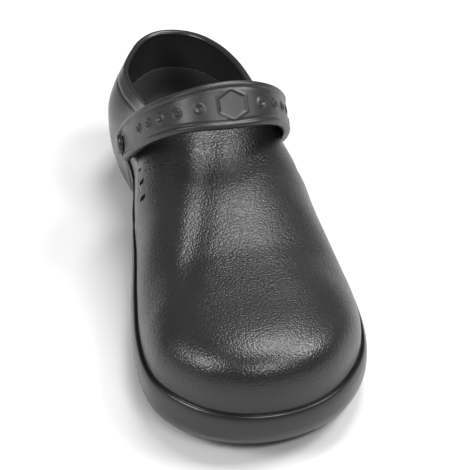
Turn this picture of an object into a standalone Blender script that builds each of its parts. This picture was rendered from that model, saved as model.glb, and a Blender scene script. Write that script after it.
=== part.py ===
"""Moulded work clog for the left foot, with tread inserts and a heel strap swung forward.

Metres, +Z up, toe towards -Y, lateral side towards +X, standing on Z = 0.
"""

import math
from collections import namedtuple

import bmesh
import bpy
import numpy as np

MM = 0.001

# Driving sizes of the last
LENGTH = 290.0 * MM
BALL_WIDTH = 111.2 * MM
INSTEP_HEIGHT = 85.0 * MM
HEEL_COLLAR = 68.0 * MM

# Moulded body
WALL = 4.0 * MM
LEAN = 0.6
LEDGE_RISE = 0.4
FLANK_POWER = 2.2
SPINE_HEEL = 120.0 * MM
SPINE_TOE = -100.0 * MM
THROAT = 0.425
THROAT_ROUND = 0.07
THROAT_WIDTH = 0.85
THROAT_BLEND = 6.0
FLOOR_CORNER = 4.0 * MM
LIP_BULGE = 0.42
STATIONS = 33
GAP = 0.3 * MM

# Insole
INSOLE_THICK = 4.0 * MM
INSOLE_FOOT = 3.9 * MM
INSOLE_EDGE = 0.8 * MM
CUP_WALL = 1.8 * MM

# Tread inserts
PLATE_TOP = 4.4 * MM
PLATE_LOW = 2.2 * MM
RIB_LOW = 0.3 * MM
RIB_WIDTH = 3.4 * MM
LUG_RIM = 4.0 * MM
BEND_STEP = 10.0 * MM

# Heel strap and its pivots
STRAP_WIDTH = 18.5 * MM
STRAP_SWELL = 2.4 * MM
STRAP_SWELL_X = 6.0 * MM
STRAP_SWELL_REACH = 22.0 * MM
STRAP_THICK = 3.8 * MM
STRAP_EDGE = 1.1 * MM
STRAP_REACH = 75.0 * MM
STRAP_HALF = 43.0 * MM
STRAP_CENTRE = 3.0 * MM
STRAP_TILT = math.radians(42.0)
ARCH_SIDE = 0.76
ARCH_TOP = 1.05
PIVOT_AT = 0.34
PIVOT_Z = 57.0 * MM
BOSS_RADIUS = 8.0 * MM
SHANK_RADIUS = 3.6 * MM
CAP_LENGTH = 17.0 * MM
CAP_WIDTH = 9.5 * MM
CAP_THICK = 2.0 * MM
CLINCH_RADIUS = 6.5 * MM
CLINCH_THICK = 1.8 * MM

# Waist ribs under the arch and vents in the waist of the medial side
WAIST_RIB = 4.0 * MM
WAIST_RIB_LOW = 3.0 * MM
WAIST_RIB_AT = (0.392, 0.460)
WAIST_RIB_X = (-5.0 * MM, 12.0 * MM)
VENT_LENGTH = 6.0 * MM
VENT_WIDTH = 3.2 * MM

# One row per section, from the back of the heel (0) to the tip of the toe (1).
# medial, lateral and ridge are shares of the ball width, crown is a share of the instep height,
# tuck, belly, rim and ledge are in millimetres, wide and tall are the arch's exponents.
Section = namedtuple("Section", "at medial lateral tuck belly rim ledge crown ridge wide tall")
SECTIONS = (
    Section(0.00, 0.000, 0.000, 8.0, 38.0, 44.0, 0.0, 1.270, 0.000, 1.00, 1.00),
    Section(0.05, 0.213, 0.237, 8.0, 39.0, 44.0, 0.0, 1.294, 0.000, 1.00, 1.00),
    Section(0.15, 0.352, 0.338, 8.0, 40.0, 44.0, 0.0, 1.318, 0.000, 1.00, 1.00),
    Section(0.28, 0.331, 0.370, 10.0, 39.0, 42.0, 0.0, 1.235, 0.000, 1.00, 1.00),
    Section(0.37, 0.324, 0.388, 12.0, 37.0, 40.0, 0.0, 1.106, -0.009, 1.00, 1.00),
    Section(0.46, 0.373, 0.449, 9.0, 30.0, 35.0, 0.6, 0.965, -0.018, 1.00, 1.00),
    Section(0.55, 0.415, 0.474, 6.0, 23.0, 30.0, 1.6, 0.896, -0.027, 1.00, 0.95),
    Section(0.66, 0.469, 0.493, 5.0, 18.0, 27.0, 2.0, 0.818, -0.036, 0.95, 0.90),
    Section(0.76, 0.503, 0.497, 5.0, 17.0, 25.0, 2.0, 0.748, -0.036, 0.90, 0.90),
    Section(0.86, 0.491, 0.450, 5.0, 17.0, 25.0, 2.0, 0.684, -0.036, 0.88, 0.88),
    Section(0.94, 0.375, 0.322, 6.0, 18.0, 26.0, 2.0, 0.663, -0.031, 0.85, 0.85),
    Section(1.00, 0.026, -0.026, 6.0, 19.0, 27.0, 2.0, 0.654, -0.029, 0.85, 0.85),
)

# Heights along the shoe in millimetres: the underside with its arch and toe spring, and the floor inside
Level = namedtuple("Level", "at z")
UNDERSIDE = (
    Level(0.00, 4.0), Level(0.05, 0.8), Level(0.388, 0.8), Level(0.426, 5.5),
    Level(0.464, 0.8), Level(0.76, 0.8), Level(0.90, 3.5), Level(1.00, 9.0),
)
FLOOR = (
    Level(0.00, 27.0), Level(0.15, 26.0), Level(0.30, 25.0), Level(0.42, 23.5),
    Level(0.55, 19.5), Level(0.70, 17.0), Level(0.85, 18.0), Level(1.00, 21.0),
)

# Collar height along the shoe as a share of the heel collar, up to the throat
COLLAR = (
    Level(0.00, 1.000), Level(0.08, 0.978), Level(0.20, 0.956),
    Level(0.30, 1.010), Level(0.37, 1.090), Level(THROAT, 1.180),
)

# How far the medial collar leans in along the shoe, as an exponent of the arch
MEDIAL_LEAN = (
    Level(0.00, 1.0), Level(0.05, 2.2), Level(0.11, 3.8), Level(0.165, 5.2), Level(0.22, 4.4),
    Level(0.28, 2.8), Level(0.34, 1.3), Level(0.40, 1.0), Level(0.44, 1.0), Level(0.50, 1.0), Level(1.00, 1.0),
)

# Height of the insole's heel cup along the shoe in millimetres, above its top
HEEL_CUP = (
    Level(0.00, 15.0), Level(0.06, 15.0), Level(0.14, 14.5), Level(0.24, 8.0), Level(0.34, 0.5),
    Level(0.40, 0.5), Level(0.50, 0.5), Level(1.00, 0.5),
)

# One row per tread insert. back and front are its ends along the shoe, inset its distance from the
# bottom edge in millimetres, taper the share of the length over which its inner end closes, with two
# exponents; turn is in degrees, lane (half width), pitch, bar and drop (of the chevrons) in millimetres.
Tread = namedtuple("Tread", "name back front inset taper round_y round_x turn axis_x lane pitch bar drop")
TREADS = (
    Tread("outsole_forefoot", 0.462, 1.00, 3.6, 0.13, 2.5, 2.2, -4.0, 2.0, 15.5, 15.6, 7.0, 10.0),
    Tread("outsole_heel", 0.00, 0.388, 3.4, 0.17, 2.0, 1.7, 4.0, 1.0, 9.5, 13.0, 5.8, 6.6),
)

# One row per vent: place along the shoe, height in millimetres, slope of its length in degrees
Vent = namedtuple("Vent", "at z slope")
VENTS = (Vent(0.438, 57.0, 62.0), Vent(0.473, 56.5, 62.0), Vent(0.508, 54.0, 62.0))

# Finish of each part: linear colour, roughness
Finish = namedtuple("Finish", "name colour roughness")
FOAM = Finish("eva_foam", (0.020, 0.020, 0.021), 0.48)
TREAD_RUBBER = Finish("tread_rubber", (0.014, 0.014, 0.015), 0.55)
FOOTBED = Finish("insole_foam", (0.022, 0.022, 0.023), 0.85)
STRAP_FOAM = Finish("strap_foam", (0.022, 0.022, 0.023), 0.45)
STUD = Finish("stud_plastic", (0.016, 0.016, 0.017), 0.40)


def curve(at, values, where, flat=False):
    """Cubic curve through rows; with flat it never overshoots a level row."""
    at = np.asarray(at, float)
    values = np.asarray(values, float)
    where = np.asarray(where, float)
    step = np.diff(at)
    slope = np.diff(values) / step
    tangent = np.empty_like(values)
    tangent[1:-1] = (slope[:-1] * step[1:] + slope[1:] * step[:-1]) / (step[:-1] + step[1:])
    tangent[0] = 1.5 * slope[0] - 0.5 * tangent[1]
    tangent[-1] = 1.5 * slope[-1] - 0.5 * tangent[-2]
    if flat:
        same = slope[:-1] * slope[1:] > 0
        mean = 2.0 * slope[:-1] * slope[1:] / np.where(same, slope[:-1] + slope[1:], 1.0)
        tangent[1:-1] = np.where(same, mean, 0.0)
    i = np.clip(np.searchsorted(at, where) - 1, 0, len(at) - 2)
    t = (where - at[i]) / step[i]
    rise = t * t * (3.0 - 2.0 * t)
    ends = t * (1.0 - t) ** 2 * tangent[i] + t * t * (t - 1.0) * tangent[i + 1]
    return values[i] + (values[i + 1] - values[i]) * rise + ends * step[i]


def turn_of(share):
    """Angle that spreads the sections evenly round both ends of the outline."""
    return np.arccos(np.clip(1.0 - 2.0 * np.asarray(share, float), -1.0, 1.0))


def share_of(y):
    """Place along the shoe, 0 at the heel and 1 at the toe."""
    return np.clip((LENGTH / 2.0 - y) / LENGTH, 0.0, 1.0)


def column(name, turn):
    """One column of the section table at the given turns, in metres where it is a length."""
    scale = {"medial": BALL_WIDTH, "lateral": BALL_WIDTH, "ridge": BALL_WIDTH, "crown": INSTEP_HEIGHT,
             "tuck": MM, "belly": MM, "rim": MM, "ledge": MM}.get(name, 1.0)
    at = turn_of([row.at for row in SECTIONS])
    return scale * curve(at, [getattr(row, name) for row in SECTIONS], turn)


def level(table, y):
    """Height of the underside or the floor at y."""
    return MM * curve([row.at for row in table], [row.z for row in table], share_of(y), flat=True)


def collar_height(share):
    """Height of the collar's edge."""
    at = [row.at for row in COLLAR]
    return HEEL_COLLAR * curve(at, [row.z for row in COLLAR], np.minimum(share, THROAT))


def outline(turn, side):
    """Widest plan outline of one side."""
    x = column("lateral", turn) if side > 0 else -column("medial", turn)
    return np.column_stack([x, LENGTH / 2.0 * np.cos(turn)])


def outward(turn, side):
    """Unit plan normals of the outline."""
    low = np.clip(turn - 1e-3, 0.0, math.pi)
    high = np.clip(turn + 1e-3, 0.0, math.pi)
    run = (outline(high, side)[:, 0] - outline(low, side)[:, 0]) / (high - low)
    normal = side * np.column_stack([LENGTH / 2.0 * np.sin(turn), run])
    return normal / np.linalg.norm(normal, axis=1)[:, None]


def inset(turn, side, distance):
    """Outline moved inwards by a distance that may vary along it."""
    distance = np.broadcast_to(distance, turn.shape)
    return outline(turn, side) - distance[:, None] * outward(turn, side)


def spine(turn):
    """Plan line on which the two sides meet."""
    return np.column_stack([column("ridge", turn), SPINE_HEEL + (SPINE_TOE - SPINE_HEEL) * (1.0 - np.cos(turn)) / 2.0])


def last_angle(turn):
    """Angle at which each section's arch ends: at the collar, or at the crown past the throat."""
    share = (1.0 - np.cos(turn)) / 2.0
    foot = column("rim", turn) + LEDGE_RISE * column("ledge", turn)
    reach = np.clip((collar_height(share) - foot) / (column("crown", turn) - foot), 0.0, 0.999)
    collar = np.cos(np.arcsin(reach ** (1.0 / column("tall", turn))))
    throat = THROAT_WIDTH * np.sqrt(np.clip((THROAT - share) / THROAT_ROUND, 1e-12, None))
    ends = (collar ** -THROAT_BLEND + throat ** -THROAT_BLEND) ** (-1.0 / THROAT_BLEND)
    return np.where(share < THROAT - 1e-9, np.arccos(ends), math.pi / 2.0)


def arch(turn, side, depth, part):
    """Points of the upper's arch at a share of its angle, depth inside the outer skin."""
    ledge = column("ledge", turn)
    foot = inset(turn, side, (1.0 + LEAN) * ledge + depth)
    middle = spine(turn)
    low = column("rim", turn) + LEDGE_RISE * ledge
    angle = last_angle(turn) * part
    power = column("wide", turn)
    if side < 0:
        power = power * level(MEDIAL_LEAN, LENGTH / 2.0 * np.cos(turn)) / MM
    wide = np.maximum(np.cos(angle), 0.0) ** power
    tall = np.sin(angle) ** column("tall", turn)
    plan = middle + (foot - middle) * wide[:, None]
    return np.column_stack([plan, low + (column("crown", turn) - depth - low) * tall])


def on_level(plan, table, lift=0.0):
    """Plan points put on the underside or the floor."""
    return np.column_stack([plan, level(table, plan[:, 1]) + lift])


def outer_rows(turn, side):
    """Rows of the outer skin from the underside's middle line up to the collar or crown."""
    belly = column("belly", turn)
    rim = column("rim", turn)
    ledge = column("ledge", turn)
    rows = []
    edge = inset(turn, side, column("tuck", turn))
    for part in (0.0, 0.6):
        rows.append(on_level(spine(turn) + (edge - spine(turn)) * part, UNDERSIDE))
    for part in (0.0, 0.15, 0.45, 1.0):
        plan = inset(turn, side, column("tuck", turn) * (1.0 - part) ** FLANK_POWER)
        low = level(UNDERSIDE, plan[:, 1])
        rows.append(np.column_stack([plan, low + (belly - low) * part]))
    for part in (0.55, 1.0):
        rows.append(np.column_stack([inset(turn, side, LEAN * ledge * part ** 2), belly + (rim - belly) * part]))
    for part in np.linspace(0.0, 1.0, 8):
        rows.append(arch(turn, side, 0.0, part))
    return rows


def inner_rows(turn, side):
    """Rows of the inner skin from the collar or crown down to the floor's middle line."""
    ledge = column("ledge", turn)
    rows = [arch(turn, side, WALL, part) for part in np.linspace(1.0, 0.0, 6)]
    back = (1.0 + LEAN) * ledge + WALL
    for part in (0.0, 0.5, 1.0):
        angle = part * math.pi / 2.0
        plan = inset(turn, side, back + FLOOR_CORNER * (1.0 - math.cos(angle)))
        rows.append(on_level(plan, FLOOR, FLOOR_CORNER * (1.0 - math.sin(angle))))
    edge = rows[-1][:, :2]
    for part in (0.55, 0.0):
        rows.append(on_level(spine(turn) + (edge - spine(turn)) * part, FLOOR))
    return rows


def lip_rows(outer, inner, turn):
    """Rounded edge of the collar between the skins, for one side."""
    middle = (outer + inner) / 2.0
    along = np.gradient(middle, axis=0)
    along[0] = along[-1] = (1.0, 0.0, 0.0)
    across = inner - outer
    out = np.cross(along, across)
    out /= np.maximum(np.linalg.norm(out, axis=1), 1e-9)[:, None]
    toward = np.column_stack([spine(turn), np.full(len(turn), 2.0 * INSTEP_HEIGHT)]) - middle
    toward[:, 1] += 0.3 * LENGTH * (toward[:, 1] < 0.0)
    out *= np.sign(np.sum(out * toward, axis=1))[:, None]
    size = np.linalg.norm(across, axis=1)[:, None]
    return [outer + across * part + out * size * LIP_BULGE * math.sin(math.pi * part) for part in (0.2, 0.5, 0.8)]


def mesh_object(name, build, collection, finish=None):
    """Object whose mesh is filled by build(bm)."""
    bm = bmesh.new()
    build(bm)
    mesh = bpy.data.meshes.new(name)
    bm.to_mesh(mesh)
    bm.free()
    obj = bpy.data.objects.new(name, mesh)
    collection.objects.link(obj)
    if finish:
        mesh.materials.append(material(finish))
    return obj


def material(finish):
    """Principled material of a part."""
    found = bpy.data.materials.get(finish.name)
    if found:
        return found
    made = bpy.data.materials.new(finish.name)
    made.use_nodes = True
    shader = made.node_tree.nodes["Principled BSDF"]
    shader.inputs["Base Color"].default_value = (*finish.colour, 1.0)
    shader.inputs["Roughness"].default_value = finish.roughness
    return made


def close(bm):
    """Weld, drop empty faces and turn all faces outwards."""
    bmesh.ops.remove_doubles(bm, verts=bm.verts, dist=1e-6)
    bmesh.ops.dissolve_degenerate(bm, dist=1e-6, edges=bm.edges)
    bmesh.ops.triangulate(bm, faces=bm.faces)
    bmesh.ops.recalc_face_normals(bm, faces=bm.faces)


def skin(bm, rows):
    """Quads between neighbouring rows of points."""
    lines = [[bm.verts.new(point) for point in row] for row in rows]
    for low, high in zip(lines, lines[1:]):
        for a, b, c, d in zip(low, low[1:], high[1:], high):
            bm.faces.new((a, b, c, d))
    return lines


def body_turns():
    """Turns of the sections, with the throat among them and a few close behind it."""
    throat = float(turn_of(THROAT))
    even = np.linspace(0.0, math.pi, STATIONS)
    even = even[np.abs(even - throat + 0.03) > 0.05]
    return np.sort(np.concatenate([even, throat - np.array([0.0, 0.003, 0.012, 0.03, 0.06])]))


def build_body(bm):
    """Hollow moulding: outer skin, collar lip and inner skin, both sides."""
    turn = body_turns()
    opened = int(np.sum(turn < float(turn_of(THROAT)) - 1e-9)) + 1
    for side in (-1, 1):
        outer = outer_rows(turn, side)
        inner = inner_rows(turn, side)
        skin(bm, outer)
        skin(bm, inner)
        first, last = outer[-1][:opened], inner[0][:opened]
        skin(bm, [first, *lip_rows(first, last, turn[:opened]), last])
    close(bm)


def build_insole(bm):
    """Footbed lying on the floor, with its edge following the inner wall."""
    turn = body_turns()
    back = (1.0 + LEAN) * column("ledge", turn) + WALL
    for side in (-1, 1):
        foot = inset(turn, side, back + INSOLE_FOOT)
        edge = inset(turn, side, back + INSOLE_EDGE)
        cup = inset(turn, side, back + INSOLE_EDGE + CUP_WALL)
        middle = spine(turn)
        top = INSOLE_THICK + GAP
        rise = level(HEEL_CUP, LENGTH / 2.0 * np.cos(turn))
        rows = [on_level(middle, FLOOR, GAP), on_level(middle + (foot - middle) * 0.55, FLOOR, GAP),
                on_level(foot, FLOOR, GAP), on_level(edge, FLOOR, top - 1.2 * MM),
                on_level(edge, FLOOR, top + rise - 0.4 * MM), on_level(cup, FLOOR, top + rise),
                on_level(cup + (middle - cup) * 0.05, FLOOR, top), on_level(middle + (edge - middle) * 0.55, FLOOR, top),
                on_level(middle, FLOOR, top)]
        skin(bm, rows)
    close(bm)


def tread_outline(tread, grow=0.0):
    """Plan outline of a tread insert as a closed ring of points."""
    heel = tread.back == 0.0
    closing = np.linspace(0.0, math.pi / 2.0, 7)
    inner_end = tread.front if heel else tread.back
    away = tread.taper * np.cos(closing) ** (2.0 / tread.round_y)
    away = (inner_end - tread.taper + away) if heel else (inner_end + tread.taper - away)
    width = np.sin(closing) ** (2.0 / tread.round_x)
    rest = np.linspace(float(turn_of(away[-1])), 0.0 if heel else math.pi, 10)[1:]
    turn = np.concatenate([turn_of(away), rest])
    width = np.concatenate([width, np.ones(len(rest))])
    distance = column("tuck", turn) + tread.inset * MM - grow
    left = inset(turn, -1, distance)
    right = inset(turn, 1, distance)
    centre = (left + right) / 2.0
    left = centre + (left - centre) * width[:, None]
    right = centre + (right - centre) * width[:, None]
    return np.concatenate([left, right[-2:0:-1]])


def grown(ring, distance):
    """Ring moved outwards by a distance along the mean of its neighbouring edges' normals."""
    ahead = np.roll(ring, -1, axis=0) - ring
    ahead /= np.linalg.norm(ahead, axis=1)[:, None]
    behind = np.roll(ahead, 1, axis=0)
    middle = ahead + behind
    middle /= np.linalg.norm(middle, axis=1)[:, None]
    stretch = np.maximum(np.sum(middle * ahead, axis=1), 0.4)
    normal = np.column_stack([middle[:, 1], -middle[:, 0]])
    area = np.sum(ring[:, 0] * np.roll(ring[:, 1], -1) - ring[:, 1] * np.roll(ring[:, 0], -1))
    return ring + np.sign(area) * normal * (distance / stretch)[:, None]


def prism(bm, ring, low, high):
    """Upright prism over a plan ring."""
    bottom = [bm.verts.new((x, y, low)) for x, y in ring]
    top = [bm.verts.new((x, y, high)) for x, y in ring]
    bm.faces.new(bottom)
    bm.faces.new(top)
    for i, a in enumerate(bottom):
        j = (i + 1) % len(bottom)
        bm.faces.new((a, bottom[j], top[j], top[i]))
    bmesh.ops.recalc_face_normals(bm, faces=bm.faces)


def spring(y):
    """Lift of the tread by the toe spring, the heel's edge and the arch."""
    flat = min(row.z for row in UNDERSIDE) * MM
    return level(UNDERSIDE, y) - flat


def bend(bm):
    """Cut a flat body across at even steps and lift it by the spring."""
    bmesh.ops.triangulate(bm, faces=bm.faces)
    for y in np.arange(BEND_STEP / 2.0 - LENGTH / 2.0, LENGTH / 2.0, BEND_STEP):
        if max(float(spring(y - BEND_STEP)), float(spring(y + BEND_STEP))) < 1e-6:
            continue
        whole = bm.verts[:] + bm.edges[:] + bm.faces[:]
        bmesh.ops.bisect_plane(bm, geom=whole, dist=1e-6, plane_co=(0.0, float(y), 0.0), plane_no=(0.0, 1.0, 0.0))
    for vert in bm.verts:
        vert.co.z += float(spring(vert.co.y))
    close(bm)


def chevron(tread, y):
    """Ring of one row of chevrons over three lanes, points towards the toe."""
    lane, drop = tread.lane * MM, tread.drop * MM
    xs = np.array([-3.0, -2.0, -1.0, 0.0, 1.0, 2.0, 3.0]) * lane
    ys = y + drop * np.array([1.0, 0.0, 1.0, 0.0, 1.0, 0.0, 1.0])
    front = np.column_stack([xs, ys])
    back = np.column_stack([xs, ys + tread.bar * MM])
    return turned(tread, np.concatenate([front, back[::-1]]))


def turned(tread, ring):
    """Ring turned to the tread's axis."""
    angle = math.radians(tread.turn)
    centre = LENGTH / 2.0 - LENGTH * (tread.back + tread.front) / 2.0
    x, y = ring[:, 0], ring[:, 1] - centre
    return np.column_stack([tread.axis_x * MM + x * math.cos(angle) - y * math.sin(angle),
                            centre + x * math.sin(angle) + y * math.cos(angle)])


def boolean(obj, other, operation):
    """Exact Boolean of obj with other."""
    step = obj.modifiers.new(other.name, "BOOLEAN")
    step.operation = operation
    step.solver = "EXACT"
    step.object = other


def settle(obj):
    """Replace the mesh by the result of its modifiers."""
    graph = bpy.context.evaluated_depsgraph_get()
    done = bpy.data.meshes.new_from_object(obj.evaluated_get(graph), depsgraph=graph)
    obj.modifiers.clear()
    old = obj.data
    name = old.name
    obj.data = done
    bpy.data.meshes.remove(old)
    done.name = name
    bm = bmesh.new()
    bm.from_mesh(done)
    close(bm)
    bm.to_mesh(done)
    bm.free()


def rework(obj, change):
    """Run a mesh change on an object."""
    bm = bmesh.new()
    bm.from_mesh(obj.data)
    change(bm)
    bm.to_mesh(obj.data)
    bm.free()


def build_tread(tread, parts, cutters):
    """Tread insert: plate, border, ribs and chevron lugs, bent to the sole."""
    ring = tread_outline(tread)
    plate = mesh_object(tread.name, lambda bm: prism(bm, ring, PLATE_LOW, PLATE_TOP), parts, TREAD_RUBBER)
    field = tread_outline(tread, grow=-LUG_RIM)
    mask = mesh_object(tread.name + "_field", lambda bm: prism(bm, field, -1.0 * MM, PLATE_LOW + 0.6 * MM), cutters)
    middle = LENGTH / 2.0 - LENGTH * (tread.back + tread.front) / 2.0
    reach = LENGTH * (tread.front - tread.back) / 2.0 + 12.0 * MM
    lugs = mesh_object(tread.name + "_lugs", lambda bm: None, cutters)
    for y in np.arange(middle - reach, middle + reach, tread.pitch * MM):
        bar = mesh_object("bar", lambda bm: prism(bm, chevron(tread, y), 0.0, PLATE_LOW + 0.4 * MM), cutters)
        join(lugs, bar)
    boolean(lugs, mask, "INTERSECT")
    settle(lugs)
    ribs = mesh_object(tread.name + "_ribs", lambda bm: None, cutters)
    for x in (-tread.lane * MM, tread.lane * MM):
        half = RIB_WIDTH / 2.0
        box = np.array([(x - half, middle - reach), (x + half, middle - reach),
                        (x + half, middle + reach), (x - half, middle + reach)])
        strip = mesh_object("rib", lambda bm: prism(bm, turned(tread, box), RIB_LOW, PLATE_LOW + 0.5 * MM), cutters)
        join(ribs, strip)
    boolean(ribs, mask, "INTERSECT")
    settle(ribs)
    boolean(plate, ribs, "UNION")
    boolean(plate, lugs, "UNION")
    settle(plate)
    rework(plate, bend)
    pocket_ring = grown(ring, GAP)
    pocket = mesh_object(tread.name + "_pocket", lambda bm: prism(bm, pocket_ring, -12.0 * MM, PLATE_TOP + GAP), cutters)
    rework(pocket, bend)
    return pocket


def join(target, source):
    """Add the mesh of source to target and drop source."""
    bm = bmesh.new()
    bm.from_mesh(target.data)
    bm.from_mesh(source.data)
    bm.to_mesh(target.data)
    bm.free()
    mesh = source.data
    bpy.data.objects.remove(source)
    bpy.data.meshes.remove(mesh)


def cross_round(bm, x_from, x_to, radius, y, z, sides=16):
    """Round bar along X."""
    angle = np.linspace(0.0, 2.0 * math.pi, sides, endpoint=False)
    ends = [[bm.verts.new((x, y + radius * math.cos(a), z + radius * math.sin(a))) for a in angle] for x in (x_from, x_to)]
    bm.faces.new(ends[0])
    bm.faces.new(ends[1])
    for i in range(sides):
        j = (i + 1) % sides
        bm.faces.new((ends[0][i], ends[0][j], ends[1][j], ends[1][i]))


def cross_oval(bm, x_from, x_to, length, width, y, z, slope, sides=5):
    """Straight-sided oval bar along X, its length at a slope in the YZ plane."""
    half = (length - width) / 2.0
    ring = []
    for end in (1.0, -1.0):
        for a in np.linspace(-math.pi / 2.0, math.pi / 2.0, sides):
            u = end * (half + width / 2.0 * math.cos(a))
            v = end * width / 2.0 * math.sin(a)
            ring.append((y - u * math.cos(slope) - v * math.sin(slope), z + u * math.sin(slope) - v * math.cos(slope)))
    ends = [[bm.verts.new((x, p, q)) for p, q in ring] for x in (x_from, x_to)]
    bm.faces.new(ends[0])
    bm.faces.new(ends[1])
    for i in range(len(ring)):
        j = (i + 1) % len(ring)
        bm.faces.new((ends[0][i], ends[0][j], ends[1][j], ends[1][i]))


def pivot_y():
    """Pivot's place along Y."""
    return LENGTH / 2.0 - PIVOT_AT * LENGTH


def strap_face(side):
    """Outer and inner face of the strap's end on one side, along X."""
    face = STRAP_CENTRE + side * STRAP_HALF
    return face, face - side * STRAP_THICK


def wall_inside(side):
    """X of the wall's inner face at the top of the pivot's boss."""
    turn = np.array([float(turn_of(PIVOT_AT))])
    parts = np.linspace(0.0, 1.0, 80)
    points = np.array([arch(turn, side, WALL, part)[0] for part in parts])
    return float(np.interp(PIVOT_Z + CLINCH_RADIUS, points[:, 2], points[:, 0]))


def strap_line():
    """Strap's middle line as points (x, reach along the tilt), outward normals and distances."""
    theta = np.linspace(0.0, math.pi, 27)
    mid = STRAP_HALF - STRAP_THICK / 2.0
    x = np.cos(theta)
    x = STRAP_CENTRE - mid * np.sign(x) * np.abs(x) ** ARCH_SIDE
    up = (STRAP_REACH - STRAP_THICK / 2.0) * np.sin(theta) ** ARCH_TOP
    tail = STRAP_WIDTH / 2.0
    low = -tail * np.cos(np.radians([12.0, 32.0, 52.0, 72.0, 90.0]))
    x = np.concatenate([np.full(5, x[0]), x[1:-1], np.full(5, x[-1])])
    up = np.concatenate([low, up[1:-1], low[::-1]])
    line = np.column_stack([x, up])
    along = np.gradient(line, axis=0)
    along[:5] = (0.0, 1.0)
    along[-5:] = (0.0, -1.0)
    along /= np.linalg.norm(along, axis=1)[:, None]
    normal = np.column_stack([-along[:, 1], along[:, 0]])
    half = tail + STRAP_SWELL * np.exp(-((line[:, 0] - STRAP_SWELL_X) / STRAP_SWELL_REACH) ** 2)
    half[:5] = tail * np.sin(np.radians([12.0, 32.0, 52.0, 72.0, 90.0]))
    half[-5:] = half[:5][::-1]
    return line, normal, half


def build_strap(bm):
    """Band with round ends bent over the instep, its edges rounded."""
    line, normal, half = strap_line()
    ahead = np.array([0.0, -math.cos(STRAP_TILT), math.sin(STRAP_TILT)])
    across = np.array([0.0, math.sin(STRAP_TILT), math.cos(STRAP_TILT)])
    start = np.array([0.0, pivot_y(), PIVOT_Z])
    thick = STRAP_THICK / 2.0
    rings = []
    for (x, up), (nx, nup), wide in zip(line, normal, half):
        base = start + np.array([x, 0.0, 0.0]) + up * ahead
        out = np.array([nx, 0.0, 0.0]) + nup * ahead
        corner = min(STRAP_EDGE, wide * 0.6)
        ring = [(wide, thick - corner), (wide - corner, thick), (corner - wide, thick), (-wide, thick - corner),
                (-wide, corner - thick), (corner - wide, -thick), (wide - corner, -thick), (wide, corner - thick)]
        rings.append([bm.verts.new(base + w * across + t * out) for w, t in ring])
    bm.faces.new(rings[0])
    bm.faces.new(rings[-1])
    for low, high in zip(rings, rings[1:]):
        for i in range(8):
            j = (i + 1) % 8
            bm.faces.new((low[i], low[j], high[j], high[i]))
    close(bm)


def build_stud(bm, side):
    """Pin with an oval cap outside the strap and a round head inside the wall."""
    face, _ = strap_face(side)
    inside = wall_inside(side) - side * 0.6 * MM
    y, z = pivot_y(), PIVOT_Z
    cap = face + side * GAP
    angle = np.linspace(0.0, 2.0 * math.pi, 16, endpoint=False)

    def ring(x, along, over):
        reach = (CAP_LENGTH - CAP_WIDTH) / 2.0 * along
        points = []
        for a in angle:
            u = over * math.cos(a) + reach * np.sign(round(math.cos(a), 6))
            v = over * math.sin(a)
            points.append((x, y - u * math.cos(STRAP_TILT) - v * math.sin(STRAP_TILT),
                           z + u * math.sin(STRAP_TILT) - v * math.cos(STRAP_TILT)))
        return points

    half = CAP_WIDTH / 2.0
    head = inside - side * GAP
    profile = [ring(cap + side * CAP_THICK, 1.0, half - 0.8 * MM), ring(cap + side * (CAP_THICK - 0.8 * MM), 1.0, half),
               ring(cap, 1.0, half), ring(cap, 0.0, SHANK_RADIUS), ring(head, 0.0, SHANK_RADIUS),
               ring(head, 0.0, CLINCH_RADIUS), ring(head - side * (CLINCH_THICK - 0.6 * MM), 0.0, CLINCH_RADIUS),
               ring(head - side * CLINCH_THICK, 0.0, CLINCH_RADIUS - 0.6 * MM)]
    rings = [[bm.verts.new(p) for p in points] for points in profile]
    bm.faces.new(rings[0])
    bm.faces.new(rings[-1])
    for low, high in zip(rings, rings[1:]):
        for i in range(len(angle)):
            j = (i + 1) % len(angle)
            bm.faces.new((low[i], low[j], high[j], high[i]))
    close(bm)


def build_waist_rib(bm, x):
    """Rib under the arch."""
    half = WAIST_RIB / 2.0
    y = [LENGTH / 2.0 - at * LENGTH for at in WAIST_RIB_AT]
    ring = np.array([(x - half, y[0]), (x + half, y[0]), (x + half, y[1]), (x - half, y[1])])
    prism(bm, ring, WAIST_RIB_LOW, 9.0 * MM)


def finish_body(body, pockets, cutters):
    """Bosses and waist ribs added, tread pockets, pin holes and vents cut."""
    for side in (-1, 1):
        _, face = strap_face(side)
        boss = mesh_object("boss", lambda bm: cross_round(bm, wall_inside(side) - side * 0.6 * MM, face - side * GAP,
                                                          BOSS_RADIUS, pivot_y(), PIVOT_Z), cutters)
        rework(boss, close)
        boolean(body, boss, "UNION")
    for x in WAIST_RIB_X:
        rib = mesh_object("waist_rib", lambda bm: build_waist_rib(bm, x), cutters)
        rework(rib, close)
        boolean(body, rib, "UNION")
    for pocket in pockets:
        boolean(body, pocket, "DIFFERENCE")
    for side in (-1, 1):
        hole = mesh_object("pin_hole", lambda bm: cross_round(bm, side * 10.0 * MM, side * 70.0 * MM,
                                                              SHANK_RADIUS + GAP, pivot_y(), PIVOT_Z), cutters)
        rework(hole, close)
        boolean(body, hole, "DIFFERENCE")
    for vent in VENTS:
        y = LENGTH / 2.0 - vent.at * LENGTH
        slot = mesh_object("vent", lambda bm: cross_oval(bm, -15.0 * MM, -70.0 * MM, VENT_LENGTH,
                                                         VENT_WIDTH, y, vent.z * MM, math.radians(vent.slope)), cutters)
        rework(slot, close)
        boolean(body, slot, "DIFFERENCE")
    settle(body)


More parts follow.
